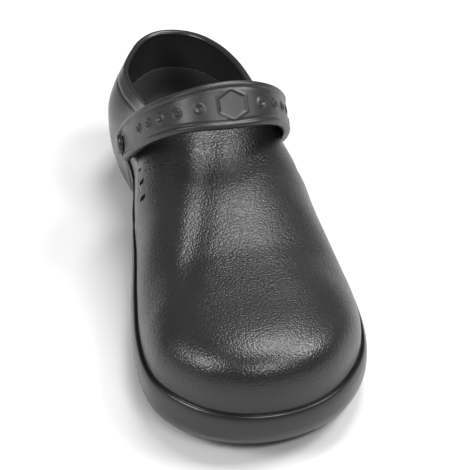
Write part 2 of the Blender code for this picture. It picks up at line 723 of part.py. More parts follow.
def stand_at_origin(parts):
    """Move all meshes so that the whole stands on Z = 0 with its box centred on the origin."""
    points = np.array([v.co for obj in parts.objects for v in obj.data.vertices])
    low, high = points.min(axis=0), points.max(axis=0)
    shift = np.array([(low[0] + high[0]) / 2.0, (low[1] + high[1]) / 2.0, low[2]])
    for obj in parts.objects:
        for vert in obj.data.vertices:
            vert.co = np.array(vert.co) - shift
        obj.data.update()


def main():
    """Build every part of the clog."""
    for obj in list(bpy.data.objects):
        bpy.data.objects.remove(obj)
    parts = bpy.data.collections.new("work_clog")
    cutters = bpy.data.collections.new("cutters")
    for collection in (parts, cutters):
        bpy.context.scene.collection.children.link(collection)
    body = mesh_object("clog_body", build_body, parts, FOAM)
    pockets = [build_tread(tread, parts, cutters) for tread in TREADS]
    finish_body(body, pockets, cutters)
    mesh_object("insole", build_insole, parts, FOOTBED)
    strap = mesh_object("heel_strap", build_strap, parts, STRAP_FOAM)
    eyes = mesh_object("eyes", lambda bm: cross_round(bm, -80.0 * MM, 80.0 * MM, SHANK_RADIUS + GAP,
                                                      pivot_y(), PIVOT_Z), cutters)
    rework(eyes, close)
    boolean(strap, eyes, "DIFFERENCE")
    settle(strap)
    for side, name in ((-1, "pivot_stud_medial"), (1, "pivot_stud_lateral")):
        mesh_object(name, lambda bm: build_stud(bm, side), parts, STUD)
    stand_at_origin(parts)
    for obj in cutters.objects:
        obj.hide_render = True
        obj.display_type = "WIRE"


main()
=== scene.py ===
"""Moulded work clog for the left foot: the visual model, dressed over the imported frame.

Metres, +Z up, toe towards -Y, lateral side towards +X, standing on Z = 0. A place along the shoe is a share
of its length, 0 at the heel and 1 at the toe. A turn is that share as an angle, which spreads the sections
evenly round both ends of the outline.
"""

from __future__ import annotations

import logging
import math
from dataclasses import dataclass
from enum import Enum
from typing import Any, Callable, Sequence

import bmesh
import bpy
import numpy as np
from mathutils import Matrix, Vector

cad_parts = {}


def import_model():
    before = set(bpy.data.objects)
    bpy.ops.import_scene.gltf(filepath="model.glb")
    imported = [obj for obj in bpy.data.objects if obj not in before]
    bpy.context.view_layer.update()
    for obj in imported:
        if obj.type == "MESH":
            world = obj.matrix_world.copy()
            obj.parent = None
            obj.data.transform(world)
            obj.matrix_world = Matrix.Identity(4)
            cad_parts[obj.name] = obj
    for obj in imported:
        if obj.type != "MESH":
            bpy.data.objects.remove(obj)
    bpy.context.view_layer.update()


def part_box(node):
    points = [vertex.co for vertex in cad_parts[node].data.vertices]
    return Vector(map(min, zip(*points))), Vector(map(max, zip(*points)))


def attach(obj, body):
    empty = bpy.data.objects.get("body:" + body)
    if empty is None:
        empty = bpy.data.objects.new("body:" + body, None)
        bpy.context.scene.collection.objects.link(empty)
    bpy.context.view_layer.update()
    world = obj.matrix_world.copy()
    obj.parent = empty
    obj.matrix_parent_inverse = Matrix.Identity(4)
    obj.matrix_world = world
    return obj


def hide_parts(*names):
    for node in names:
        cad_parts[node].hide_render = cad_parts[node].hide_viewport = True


LOG = logging.getLogger("clog")
MM = 0.001
TINY = 1e-9
WELD = 2e-6
SLIVER = 1e-7
BODY = "root"
GRAIN_MASK = "grain"

Triple = tuple[float, float, float]
Ring = Sequence[Sequence[float]]


class Side(Enum):
    """The two sides of the shoe, with their sign along X."""

    MEDIAL = -1
    LATERAL = 1


class Slot(Enum):
    """Material slots of the record."""

    BODY = "body_foam"
    TREAD = "tread_rubber"
    INSOLE = "insole_foam"
    STRAP = "strap_foam"
    STUD = "stud_plastic"


class Join(Enum):
    """Ways to combine two bodies."""

    ADD = "UNION"
    CUT = "DIFFERENCE"
    TRIM = "INTERSECT"


@dataclass(frozen=True)
class Section:
    """One section of the last.

    medial, lateral and ridge are shares of the ball width, crown is a share of the instep height. tuck,
    belly, rim and ledge are in mm. wide and tall are the powers of the arch's plan and height.
    """

    at: float
    medial: float
    lateral: float
    tuck: float
    belly: float
    rim: float
    ledge: float
    crown: float
    ridge: float
    wide: float
    tall: float


@dataclass(frozen=True)
class Level:
    """A value, mostly a height in mm, at a place along the shoe."""

    at: float
    z: float


# Heel to toe. From the ball forward the crown and the powers are set by the photograph's highlights.
SECTIONS = (
    Section(0.00, 0.000, 0.000, 8.0, 38.0, 44.0, 0.0, 1.270, 0.000, 1.00, 1.00),
    Section(0.05, 0.213, 0.237, 8.0, 39.0, 44.0, 0.0, 1.294, 0.000, 1.00, 1.00),
    Section(0.15, 0.352, 0.338, 8.0, 40.0, 44.0, 0.0, 1.318, 0.000, 1.00, 1.00),
    Section(0.28, 0.331, 0.370, 10.0, 39.0, 42.0, 0.0, 1.235, 0.000, 1.00, 1.00),
    Section(0.37, 0.324, 0.388, 12.0, 37.0, 40.0, 0.0, 1.106, -0.009, 1.00, 1.00),
    Section(0.46, 0.373, 0.449, 9.0, 30.0, 35.0, 0.6, 0.965, -0.018, 1.00, 1.00),
    Section(0.55, 0.415, 0.474, 6.0, 23.0, 30.0, 1.6, 0.896, -0.027, 1.00, 0.95),
    Section(0.66, 0.469, 0.493, 5.0, 18.0, 27.0, 2.0, 0.805, -0.036, 0.95, 0.90),
    Section(0.76, 0.503, 0.497, 5.0, 17.0, 25.0, 2.0, 0.722, -0.036, 0.86, 0.84),
    Section(0.82, 0.5056, 0.4779, 4.9, 16.9, 24.81, 2.0, 0.682, -0.036, 0.76, 0.74),
    Section(0.86, 0.491, 0.450, 5.0, 17.0, 25.0, 2.0, 0.673, -0.036, 0.70, 0.67),
    Section(0.94, 0.375, 0.322, 6.0, 18.0, 26.0, 2.0, 0.667, -0.031, 0.59, 0.57),
    Section(1.00, 0.026, -0.026, 6.0, 19.0, 27.0, 2.0, 0.664, -0.029, 0.55, 0.54),
)
# Underside of the sole, with the notch under the arch and the toe spring.
UNDERSIDE = (
    Level(0.00, 4.0), Level(0.05, 0.8), Level(0.388, 0.8), Level(0.426, 5.5),
    Level(0.464, 0.8), Level(0.76, 0.8), Level(0.90, 3.5), Level(1.00, 9.0),
)
# Moulded floor inside.
FLOOR = (
    Level(0.00, 27.0), Level(0.15, 26.0), Level(0.30, 25.0), Level(0.42, 23.5),
    Level(0.55, 19.5), Level(0.70, 17.0), Level(0.85, 18.0), Level(1.00, 21.0),
)
# Collar height as a share of the heel collar, up to the throat.
THROAT = 0.425
COLLAR = (
    Level(0.00, 1.000), Level(0.08, 0.978), Level(0.20, 0.956),
    Level(0.30, 1.010), Level(0.37, 1.090), Level(THROAT, 1.180),
)
# Factor on the medial arch's plan power: above 1 the side leans in.
MEDIAL_LEAN = (
    Level(0.00, 1.0), Level(0.05, 2.2), Level(0.11, 3.8), Level(0.165, 5.2), Level(0.22, 4.4),
    Level(0.28, 2.8), Level(0.34, 1.3), Level(0.40, 1.0), Level(0.44, 1.0), Level(0.50, 1.0),
    Level(1.00, 1.0),
)
# Rise of the footbed's edge round the heel.
HEEL_CUP = (
    Level(0.00, 15.0), Level(0.06, 15.0), Level(0.14, 14.5), Level(0.24, 8.0),
    Level(0.34, 0.5), Level(0.40, 0.5), Level(0.50, 0.5), Level(1.00, 0.5),
)


def smooth(edge0: float, edge1: float, value: np.ndarray | float) -> np.ndarray:
    """Smooth step from 0 at edge0 to 1 at edge1."""
    t = np.clip((np.asarray(value, float) - edge0) / (edge1 - edge0), 0.0, 1.0)
    return t * t * (3.0 - 2.0 * t)


def bell(away: np.ndarray, width: float) -> np.ndarray:
    """Bell curve, 1 at no distance."""
    return np.exp(-(away / width) ** 2)


def circle(count: int) -> np.ndarray:
    """Even angles once round."""
    return np.linspace(0.0, 2.0 * math.pi, count, endpoint=False)


def curve(at: Sequence[float], values: Sequence[float], where: np.ndarray, flat: bool = False) -> np.ndarray:
    """Cubic curve through rows.

    Args:
        at: Places of the rows, rising.
        values: Value of each row.
        where: Places to read.
        flat: True where the curve may not overshoot a level row.

    Returns:
        The values at the places.
    """
    at, values, where = (np.asarray(a, float) for a in (at, values, where))
    step = np.diff(at)
    slope = np.diff(values) / step
    tangent = np.empty_like(values)
    tangent[1:-1] = (slope[:-1] * step[1:] + slope[1:] * step[:-1]) / (step[:-1] + step[1:])
    tangent[0] = 1.5 * slope[0] - 0.5 * tangent[1]
    tangent[-1] = 1.5 * slope[-1] - 0.5 * tangent[-2]
    if flat:
        same = slope[:-1] * slope[1:] > 0
        mean = 2.0 * slope[:-1] * slope[1:] / np.where(same, slope[:-1] + slope[1:], 1.0)
        tangent[1:-1] = np.where(same, mean, 0.0)
    i = np.clip(np.searchsorted(at, where) - 1, 0, len(at) - 2)
    t = (where - at[i]) / step[i]
    ends = t * (1.0 - t) ** 2 * tangent[i] + t * t * (t - 1.0) * tangent[i + 1]
    return values[i] + (values[i + 1] - values[i]) * t * t * (3.0 - 2.0 * t) + ends * step[i]


def unit(rows: np.ndarray) -> np.ndarray:
    """Vectors scaled to length one along the last axis."""
    return rows / np.maximum(np.linalg.norm(rows, axis=-1, keepdims=True), 1e-12)


def grid_normals(grid: np.ndarray) -> np.ndarray:
    """Unit normals of a grid of points (rows, columns, 3)."""
    return unit(np.cross(np.gradient(grid, axis=1), np.gradient(grid, axis=0)))


@dataclass(frozen=True)
class Fold:
    """A soft ridge or trough of the vamp.

    place is where it starts across the arch (0 on the crown, 1 at the lateral rim) and drift is how far it
    moves across by drift_run further on; start and stop are along the shoe, spread is across the arch and
    height is in mm.
    """

    place: float
    start: float
    stop: float
    spread: float
    height: float
    drift: float
    drift_run: float = 0.3
    start_ease: tuple[float, float] = (-0.05, 0.05)
    stop_ease: tuple[float, float] = (0.12, -0.06)

    def height_at(self, share: np.ndarray, across: np.ndarray) -> np.ndarray:
        """Height of the fold.

        Args:
            share: Places along the shoe.
            across: Places across the arch.

        Returns:
            Heights in metres.
        """
        rise = smooth(*self.start_ease, share - self.start)
        fall = smooth(*self.stop_ease, share - self.stop)
        away = across - self.place - self.drift * (share - self.start) / self.drift_run
        return self.height * MM * rise * fall * bell(away, self.spread)


@dataclass(frozen=True)
class ClogForm:
    """The last and the moulding: every surface of the shoe is worked out from these sizes."""

    length: float = 290.0 * MM
    ball_width: float = 111.2 * MM
    instep: float = 85.0 * MM
    heel_collar: float = 68.0 * MM
    wall: float = 4.0 * MM
    lean: float = 0.6
    ledge_rise: float = 0.4
    flank_power: float = 2.2
    spine_heel: float = 120.0 * MM
    spine_toe: float = -100.0 * MM
    throat_round: float = 0.07
    throat_width: float = 0.85
    throat_blend: float = 6.0
    collar_limit: float = 0.999
    floor_corner: float = 4.0 * MM
    gap: float = 0.3 * MM
    vamp: tuple[float, float] = (0.45, 0.56)
    nudge: float = 1e-3

    def turn_of(self, share: np.ndarray | Sequence[float] | float) -> np.ndarray:
        """Turn of a place along the shoe."""
        return np.arccos(np.clip(1.0 - 2.0 * np.asarray(share, float), -1.0, 1.0))

    def share_at(self, turn: np.ndarray) -> np.ndarray:
        """Place along the shoe of a turn."""
        return (1.0 - np.cos(turn)) / 2.0

    def share_of(self, y: np.ndarray | float) -> np.ndarray:
        """Place along the shoe of a Y."""
        return np.clip((self.length / 2.0 - np.asarray(y, float)) / self.length, 0.0, 1.0)

    def y_at(self, share: float) -> float:
        """Y of a place along the shoe."""
        return self.length / 2.0 - share * self.length

    def y_of(self, turn: np.ndarray) -> np.ndarray:
        """Y of a turn."""
        return self.length / 2.0 * np.cos(turn)

    def column(self, name: str, turn: np.ndarray) -> np.ndarray:
        """One column of the section table.

        Args:
            name: Field of Section.
            turn: Turns to read it at.

        Returns:
            The values, in metres where the column is a length.
        """
        scale = {"medial": self.ball_width, "lateral": self.ball_width, "ridge": self.ball_width,
                 "crown": self.instep, "tuck": MM, "belly": MM, "rim": MM, "ledge": MM}.get(name, 1.0)
        at = self.turn_of([row.at for row in SECTIONS])
        return scale * curve(at, [getattr(row, name) for row in SECTIONS], turn)

    def level(self, table: Sequence[Level], y: np.ndarray | float) -> np.ndarray:
        """Height of a table of levels at y, in metres."""
        return MM * curve([row.at for row in table], [row.z for row in table], self.share_of(y), flat=True)

    def outline(self, turn: np.ndarray, side: Side) -> np.ndarray:
        """Widest plan outline of one side."""
        x = self.column("lateral", turn) if side is Side.LATERAL else -self.column("medial", turn)
        return np.column_stack([x, self.y_of(turn)])

    def outward(self, turn: np.ndarray, side: Side) -> np.ndarray:
        """Unit plan normals of the outline.

        Args:
            turn: Turns of the sections.
            side: Side of the shoe.

        Returns:
            One plan direction for each section.
        """
        low, high = (np.clip(turn + step, 0.0, math.pi) for step in (-self.nudge, self.nudge))
        run = (self.outline(high, side)[:, 0] - self.outline(low, side)[:, 0]) / (high - low)
        return unit(side.value * np.column_stack([self.length / 2.0 * np.sin(turn), run]))

    def inset(self, turn: np.ndarray, side: Side, distance: np.ndarray | float) -> np.ndarray:
        """Outline moved inwards by a distance that may vary along it."""
        distance = np.broadcast_to(distance, turn.shape)
        return self.outline(turn, side) - distance[:, None] * self.outward(turn, side)

    def inner_inset(self, turn: np.ndarray) -> np.ndarray:
        """Distance from the outline to the foot of the inner wall."""
        return (1.0 + self.lean) * self.column("ledge", turn) + self.wall

    def foot_height(self, turn: np.ndarray) -> np.ndarray:
        """Height at which the arch stands on the ledge."""
        return self.column("rim", turn) + self.ledge_rise * self.column("ledge", turn)

    def spine(self, turn: np.ndarray) -> np.ndarray:
        """Plan line on which the two sides meet."""
        y = self.spine_heel + (self.spine_toe - self.spine_heel) * self.share_at(turn)
        return np.column_stack([self.column("ridge", turn), y])

    def last_angle(self, turn: np.ndarray) -> np.ndarray:
        """Angle at which each section's arch ends: at the collar, or at the crown past the throat.

        Args:
            turn: Turns of the sections.

        Returns:
            The angles in radians.
        """
        share = self.share_at(turn)
        foot = self.foot_height(turn)
        at, z = [row.at for row in COLLAR], [row.z for row in COLLAR]
        collar_z = self.heel_collar * curve(at, z, np.minimum(share, THROAT))
        reach = np.clip((collar_z - foot) / (self.column("crown", turn) - foot), 0.0, self.collar_limit)
        collar = np.cos(np.arcsin(reach ** (1.0 / self.column("tall", turn))))
        throat = self.throat_width * np.sqrt(np.clip((THROAT - share) / self.throat_round, 1e-12, None))
        ends = (collar ** -self.throat_blend + throat ** -self.throat_blend) ** (-1.0 / self.throat_blend)
        return np.where(share < THROAT - TINY, np.arccos(ends), math.pi / 2.0)

    def crown_over(self, turn: np.ndarray, y: np.ndarray) -> np.ndarray:
        """Crown height of the sections; on the vamp it is read where a point lies, so the shoulders fall too.

        Args:
            turn: Turns of the sections.
            y: Y of the point on each section.

        Returns:
            The heights.
        """
        crown = self.column("crown", turn)
        here = np.clip((self.spine_heel - y) / (self.spine_heel - self.spine_toe), 0.0, 1.0)
        fall = self.column("crown", self.turn_of(here)) - crown
        return crown + fall * smooth(*self.vamp, self.share_at(turn))

    def arch(self, turn: np.ndarray, side: Side, depth: float, part: float) -> np.ndarray:
        """Points of the upper's arch.

        Args:
            turn: Turns of the sections.
            side: Side of the shoe.
            depth: Distance inside the outer skin.
            part: Share of the arch's angle, 0 at the rim.

        Returns:
            One point for each section.
        """
        foot = self.inset(turn, side, (1.0 + self.lean) * self.column("ledge", turn) + depth)
        middle, low = self.spine(turn), self.foot_height(turn)
        angle = self.last_angle(turn) * part
        power = self.column("wide", turn)
        if side is Side.MEDIAL:
            power = power * self.level(MEDIAL_LEAN, self.y_of(turn)) / MM
        wide = np.maximum(np.cos(angle), 0.0) ** power
        tall = np.sin(angle) ** self.column("tall", turn)
        plan = middle + (foot - middle) * wide[:, None]
        crown = self.crown_over(turn, plan[:, 1]) - depth
        return np.column_stack([plan, low + (crown - low) * tall])

    def on_level(self, plan: np.ndarray, table: Sequence[Level],
                 lift: np.ndarray | float = 0.0) -> np.ndarray:
        """Plan points put on the underside or the floor."""
        return np.column_stack([plan, self.level(table, plan[:, 1]) + lift])

    def spring(self, y: np.ndarray | float) -> np.ndarray:
        """Lift of the tread by the toe spring and the heel's edge."""
        return self.level(UNDERSIDE, y) - min(row.z for row in UNDERSIDE) * MM


FORM = ClogForm()


@dataclass(frozen=True)
class Nodes:
    """Short way to fill a node tree."""

    tree: bpy.types.NodeTree

    def fill(self, node: bpy.types.Node, values: dict[str | int, Any]) -> None:
        """Link or set a node's inputs.

        Args:
            node: The node.
            values: Input names with sockets, which are linked, or with values, which are set.
        """
        for name, value in values.items():
            if isinstance(value, bpy.types.NodeSocket):
                self.tree.links.new(value, node.inputs[name])
            else:
                node.inputs[name].default_value = value

    def add(self, kind: str, values: dict[str | int, Any] | None = None, **settings: Any) -> bpy.types.Node:
        """New node.

        Args:
            kind: Type of the node.
            values: Inputs to link or set.
            settings: Properties of the node, set before its inputs.

        Returns:
            The node.
        """
        node = self.tree.nodes.new(kind)
        for name, value in settings.items():
            setattr(node, name, value)
        self.fill(node, values or {})
        return node

    def noise(self, place: bpy.types.NodeSocket, scale: float, detail: float,
              output: str = "Fac") -> bpy.types.NodeSocket:
        """Noise at a scale per metre; gives back its value or colour."""
        values = {"Vector": place, "Scale": scale, "Detail": detail}
        return self.add("ShaderNodeTexNoise", values).outputs[output]


@dataclass(frozen=True)
class Grain:
    """A bump layer: cell size and depth in metres, strength, and weight of fine noise against the cells."""

    cell: float
    depth: float
    strength: float
    fine: float
    wander: float = 0.5
    wander_scale: float = 0.45
    fine_scale: float = 2.6
    soft: float = 0.35


@dataclass(frozen=True)
class Finish:
    """A procedural foam, rubber or plastic finish.

    dark and pale are the ends of the mottled colour, rough the ends of the roughness and mottle the size of
    the clouds in metres; a masked finish takes its grain only where the mesh's mask says so.
    """

    name: str
    dark: Triple
    pale: Triple
    rough: tuple[float, float]
    mottle: float
    grain: Grain
    specular: float = 0.5
    coat: float = 0.0
    coat_rough: float = 0.3
    sheen: float = 0.0
    masked: bool = False
    wear_scale: float = 2.7
    wear_span: tuple[float, float] = (0.3, 0.7)

    def make(self) -> bpy.types.Material:
        """Build the node material, or give it back where it is already made.

        Returns:
            The material.
        """
        found = bpy.data.materials.get(self.name)
        if found:
            return found
        made = bpy.data.materials.new(self.name)
        made.use_nodes = True
        nodes = Nodes(made.node_tree)
        place = nodes.add("ShaderNodeTexCoord").outputs["Object"]
        tint = nodes.add("ShaderNodeMix", {
            "Factor": nodes.noise(place, 1.0 / self.mottle, 4.0),
            "A": (*self.dark, 1.0), "B": (*self.pale, 1.0)}, data_type="RGBA")
        span = nodes.add("ShaderNodeMapRange", {
            "Value": nodes.noise(place, self.wear_scale / self.mottle, 5.0),
            "From Min": self.wear_span[0], "From Max": self.wear_span[1],
            "To Min": self.rough[0], "To Max": self.rough[1]})
        nodes.fill(made.node_tree.nodes["Principled BSDF"], {
            "Base Color": tint.outputs["Result"], "Roughness": span.outputs["Result"],
            "Normal": self.bump(nodes, place), "Specular IOR Level": self.specular,
            "Coat Weight": self.coat, "Coat Roughness": self.coat_rough, "Sheen Weight": self.sheen})
        return made

    def bump(self, nodes: Nodes, place: bpy.types.NodeSocket) -> bpy.types.NodeSocket:
        """Grain of the surface: wandering cells with fine noise, weaker where the mask says it is smooth.

        Args:
            nodes: Nodes of the material.
            place: Object coordinates.

        Returns:
            The normal.
        """
        grain = self.grain
        wander = nodes.noise(place, grain.wander_scale / grain.cell, 2.0, "Color")
        shift = nodes.add("ShaderNodeVectorMath", {
            0: wander, 1: (grain.cell * grain.wander,) * 3, 2: place}, operation="MULTIPLY_ADD")
        cells = nodes.add("ShaderNodeTexVoronoi", {
            "Vector": shift.outputs["Vector"], "Scale": 1.0 / grain.cell, "Smoothness": grain.soft},
            feature="SMOOTH_F1")
        fine = nodes.noise(place, grain.fine_scale / grain.cell, 3.0)
        height = nodes.add("ShaderNodeMath", {
            0: fine, 1: -grain.fine, 2: cells.outputs["Distance"]}, operation="MULTIPLY_ADD").outputs["Value"]
        if self.masked:
            mask = nodes.add("ShaderNodeAttribute", attribute_name=GRAIN_MASK)
            height = nodes.add("ShaderNodeMath", {
                0: height, 1: mask.outputs["Fac"]}, operation="MULTIPLY").outputs["Value"]
        bump = nodes.add("ShaderNodeBump", {
            "Height": height, "Distance": grain.depth, "Strength": grain.strength}, invert=True)
        return bump.outputs["Normal"]


FOAM = Finish(
    "body_foam_grained", dark=(0.0075, 0.0075, 0.0078), pale=(0.0110, 0.0110, 0.0113), rough=(0.28, 0.33),
    mottle=0.03, grain=Grain(0.95 * MM, 0.50 * MM, 0.5, 0.25), coat=0.05, masked=True)
FOAM_INSIDE = Finish(
    "body_foam_lining", dark=(0.010, 0.010, 0.0105), pale=(0.014, 0.014, 0.0145), rough=(0.60, 0.72),
    mottle=0.03, grain=Grain(0.9 * MM, 0.2 * MM, 0.5, 0.5), specular=0.35)
TREAD_RUBBER = Finish(
    "tread_rubber_satin", dark=(0.011, 0.011, 0.0115), pale=(0.017, 0.017, 0.0175), rough=(0.42, 0.58),
    mottle=0.02, grain=Grain(0.5 * MM, 0.10 * MM, 0.5, 0.6))
FOOTBED = Finish(
    "insole_foam_matt", dark=(0.008, 0.008, 0.0083), pale=(0.012, 0.012, 0.0123), rough=(0.72, 0.86),
    mottle=0.02, grain=Grain(1.1 * MM, 0.25 * MM, 0.6, 0.5), specular=0.3, sheen=0.1)
STRAP_FOAM = Finish(
    "strap_foam_satin", dark=(0.010, 0.010, 0.0103), pale=(0.014, 0.014, 0.0143), rough=(0.36, 0.46),
    mottle=0.025, grain=Grain(0.6 * MM, 0.06 * MM, 0.4, 0.6), coat=0.05)
STUD_PLASTIC = Finish(
    "stud_plastic_satin", dark=(0.012, 0.012, 0.0125), pale=(0.017, 0.017, 0.0175), rough=(0.30, 0.40),
    mottle=0.02, grain=Grain(0.4 * MM, 0.03 * MM, 0.4, 0.6))


def link(obj: bpy.types.Object) -> bpy.types.Object:
    """Put an object in the scene."""
    bpy.context.scene.collection.objects.link(obj)
    return obj


def mesh_object(name: str, build: Callable[[bmesh.types.BMesh], None],
                finish: Finish | None = None) -> bpy.types.Object:
    """Object whose mesh is filled by a function.

    Args:
        name: Name of the object.
        build: Function that fills the bmesh.
        finish: Finish of the object, if it has one.

    Returns:
        The new object.
    """
    bm = bmesh.new()
    build(bm)
    mesh = bpy.data.meshes.new(name)
    bm.to_mesh(mesh)
    bm.free()
    if finish:
        mesh.materials.append(finish.make())
    return link(bpy.data.objects.new(name, mesh))


def close(bm: bmesh.types.BMesh) -> None:
    """Weld the seams, drop faces without area and turn all faces outwards."""
    bmesh.ops.remove_doubles(bm, verts=bm.verts, dist=WELD)
    bmesh.ops.dissolve_degenerate(bm, dist=SLIVER, edges=bm.edges)
    bmesh.ops.recalc_face_normals(bm, faces=bm.faces)


def skin(bm: bmesh.types.BMesh, rows: Sequence[np.ndarray], material: int = 0) -> None:
    """Quads between neighbouring rows of points.

    Args:
        bm: Mesh that is filled.
        rows: Rows of equal count.
        material: Index of the faces' material.
    """
    lines = [[bm.verts.new(point) for point in row] for row in rows]
    for low, high in zip(lines, lines[1:]):
        for corners in zip(low, low[1:], high[1:], high):
            bm.faces.new(corners).material_index = material


def bridge(bm: bmesh.types.BMesh, low: list[bmesh.types.BMVert], high: list[bmesh.types.BMVert]) -> None:
    """Quads between two closed rings of equal count."""
    for corners in zip(low, [*low[1:], low[0]], [*high[1:], high[0]], high):
        bm.faces.new(corners)


def ring_loft(bm: bmesh.types.BMesh, rings: Sequence[Ring]) -> None:
    """Closed body through rings of equal count, capped at both ends.

    Args:
        bm: Mesh that is filled.
        rings: Rings of points.
    """
    lines = [[bm.verts.new(point) for point in ring] for ring in rings]
    for cap in (lines[0], lines[-1]):
        bm.faces.new(cap)
    for low, high in zip(lines, lines[1:]):
        bridge(bm, low, high)
    close(bm)


def loft(name: str, rings: Sequence[Ring], finish: Finish | None = None) -> bpy.types.Object:
    """Object with a closed body through rings."""
    return mesh_object(name, lambda bm: ring_loft(bm, rings), finish)


def raised(levels: Sequence[tuple[Ring, float]]) -> list[list[Triple]]:
    """Plan rings put at their heights."""
    return [[(x, y, z) for x, y in ring] for ring, z in levels]


def shade(obj: bpy.types.Object, angle: float) -> None:
    """Smooth shading with sharp edges above an angle in degrees."""
    obj.data.polygons.foreach_set("use_smooth", np.ones(len(obj.data.polygons), bool))
    obj.data.set_sharp_from_angle(angle=math.radians(angle))


def settle(obj: bpy.types.Object) -> None:
    """Replace the mesh by the result of its modifiers.

    Args:
        obj: Object with modifiers.
    """
    graph = bpy.context.evaluated_depsgraph_get()
    done = bpy.data.meshes.new_from_object(obj.evaluated_get(graph), depsgraph=graph)
    obj.modifiers.clear()
    old, name = obj.data, obj.data.name
    obj.data = done
    bpy.data.meshes.remove(old)
    done.name = name


def discard(obj: bpy.types.Object) -> None:
    """Remove an object and its mesh."""
    mesh = obj.data
    bpy.data.objects.remove(obj)
    bpy.data.meshes.remove(mesh)


def combine(obj: bpy.types.Object, others: Sequence[bpy.types.Object], join: Join) -> None:
    """Boolean an object with others and drop them.

    Args:
        obj: Object that is changed.
        others: Cutters or additions.
        join: What is done with them.
    """
    for other in others:
        step = obj.modifiers.new(other.name, "BOOLEAN")
        step.operation = join.value
        step.solver = "MANIFOLD"
        step.object = other
    settle(obj)
    for other in others:
        discard(other)


def facing(normal: Sequence[float], spin: float) -> list[float]:
    """Euler angles that turn Z along a normal, with Y as upright as it can be.

    Args:
        normal: Direction of the Z axis.
        spin: Turn about that axis, in radians.

    Returns:
        The three angles.
    """
    out = Vector(normal).normalized()
    up = Vector((0.0, 1.0, 0.0)) if abs(out.z) > 0.99 else Vector((0.0, 0.0, 1.0))
    up = (up - up.dot(out) * out).normalized()
    face = Matrix((up.cross(out), up, out)).transposed() @ Matrix.Rotation(spin, 3, "Z")
    return list(face.to_euler("XYZ"))


def scatter(name: str, spots: Sequence[tuple[np.ndarray, np.ndarray]], stamp: bpy.types.Object,
            finish: Finish, spin: float = 0.0) -> bpy.types.Object:
    """Set copies of a stamp on points by Geometry Nodes and turn the result into a plain mesh.

    Args:
        name: Name of the new object.
        spots: Point and direction of the Z axis of each copy.
        stamp: Object that is copied; it is dropped afterwards.
        finish: Finish of the result.
        spin: Turn of each copy about its own Z axis, in radians.

    Returns:
        The new object.
    """
    mesh = bpy.data.meshes.new(name)
    mesh.from_pydata([tuple(point) for point, _ in spots], [], [])
    angles = np.array([facing(normal, spin) for _, normal in spots], np.float32)
    mesh.attributes.new("facing", "FLOAT_VECTOR", "POINT").data.foreach_set("vector", angles.ravel())
    host = link(bpy.data.objects.new(name, mesh))
    tree = bpy.data.node_groups.new(name + "_nodes", "GeometryNodeTree")
    tree.interface.new_socket("Geometry", in_out="OUTPUT", socket_type="NodeSocketGeometry")
    inputs = {socket: tree.interface.new_socket(socket, in_out="INPUT", socket_type="NodeSocket" + kind)
              for socket, kind in (("Geometry", "Geometry"), ("Stamp", "Object"), ("Size", "Float"),
                                   ("Finish", "Material"))}
    nodes = Nodes(tree)
    given = nodes.add("NodeGroupInput").outputs
    copy = nodes.add("GeometryNodeObjectInfo", {"Object": given["Stamp"]})
    stored = nodes.add("GeometryNodeInputNamedAttribute", {"Name": "facing"}, data_type="FLOAT_VECTOR")
    turned = nodes.add("FunctionNodeEulerToRotation", {0: stored.outputs["Attribute"]})
    put = nodes.add("GeometryNodeInstanceOnPoints", {
        "Points": given["Geometry"], "Instance": copy.outputs["Geometry"],
        "Rotation": turned.outputs[0], "Scale": given["Size"]})
    real = nodes.add("GeometryNodeRealizeInstances", {"Geometry": put.outputs["Instances"]})
    coated = nodes.add("GeometryNodeSetMaterial", {
        "Geometry": real.outputs["Geometry"], "Material": given["Finish"]})
    nodes.add("NodeGroupOutput", {"Geometry": coated.outputs["Geometry"]})
    step = host.modifiers.new("copies", "NODES")
    step.node_group = tree
    for socket, value in (("Stamp", stamp), ("Size", 1.0), ("Finish", finish.make())):
        step[inputs[socket].identifier] = value
    settle(host)
    discard(stamp)
    return host


def dress(obj: bpy.types.Object, slot: Slot, *nodes: str) -> None:
    """Attach a finished piece to the body and hide the CAD nodes that it stands for.

    Args:
        obj: The piece.
        slot: Its material slot in the record; not used.
        nodes: CAD nodes that it stands for.
    """
    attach(obj, BODY)
    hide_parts(*nodes)
    LOG.info("%s: %d faces", obj.name, len(obj.data.polygons))


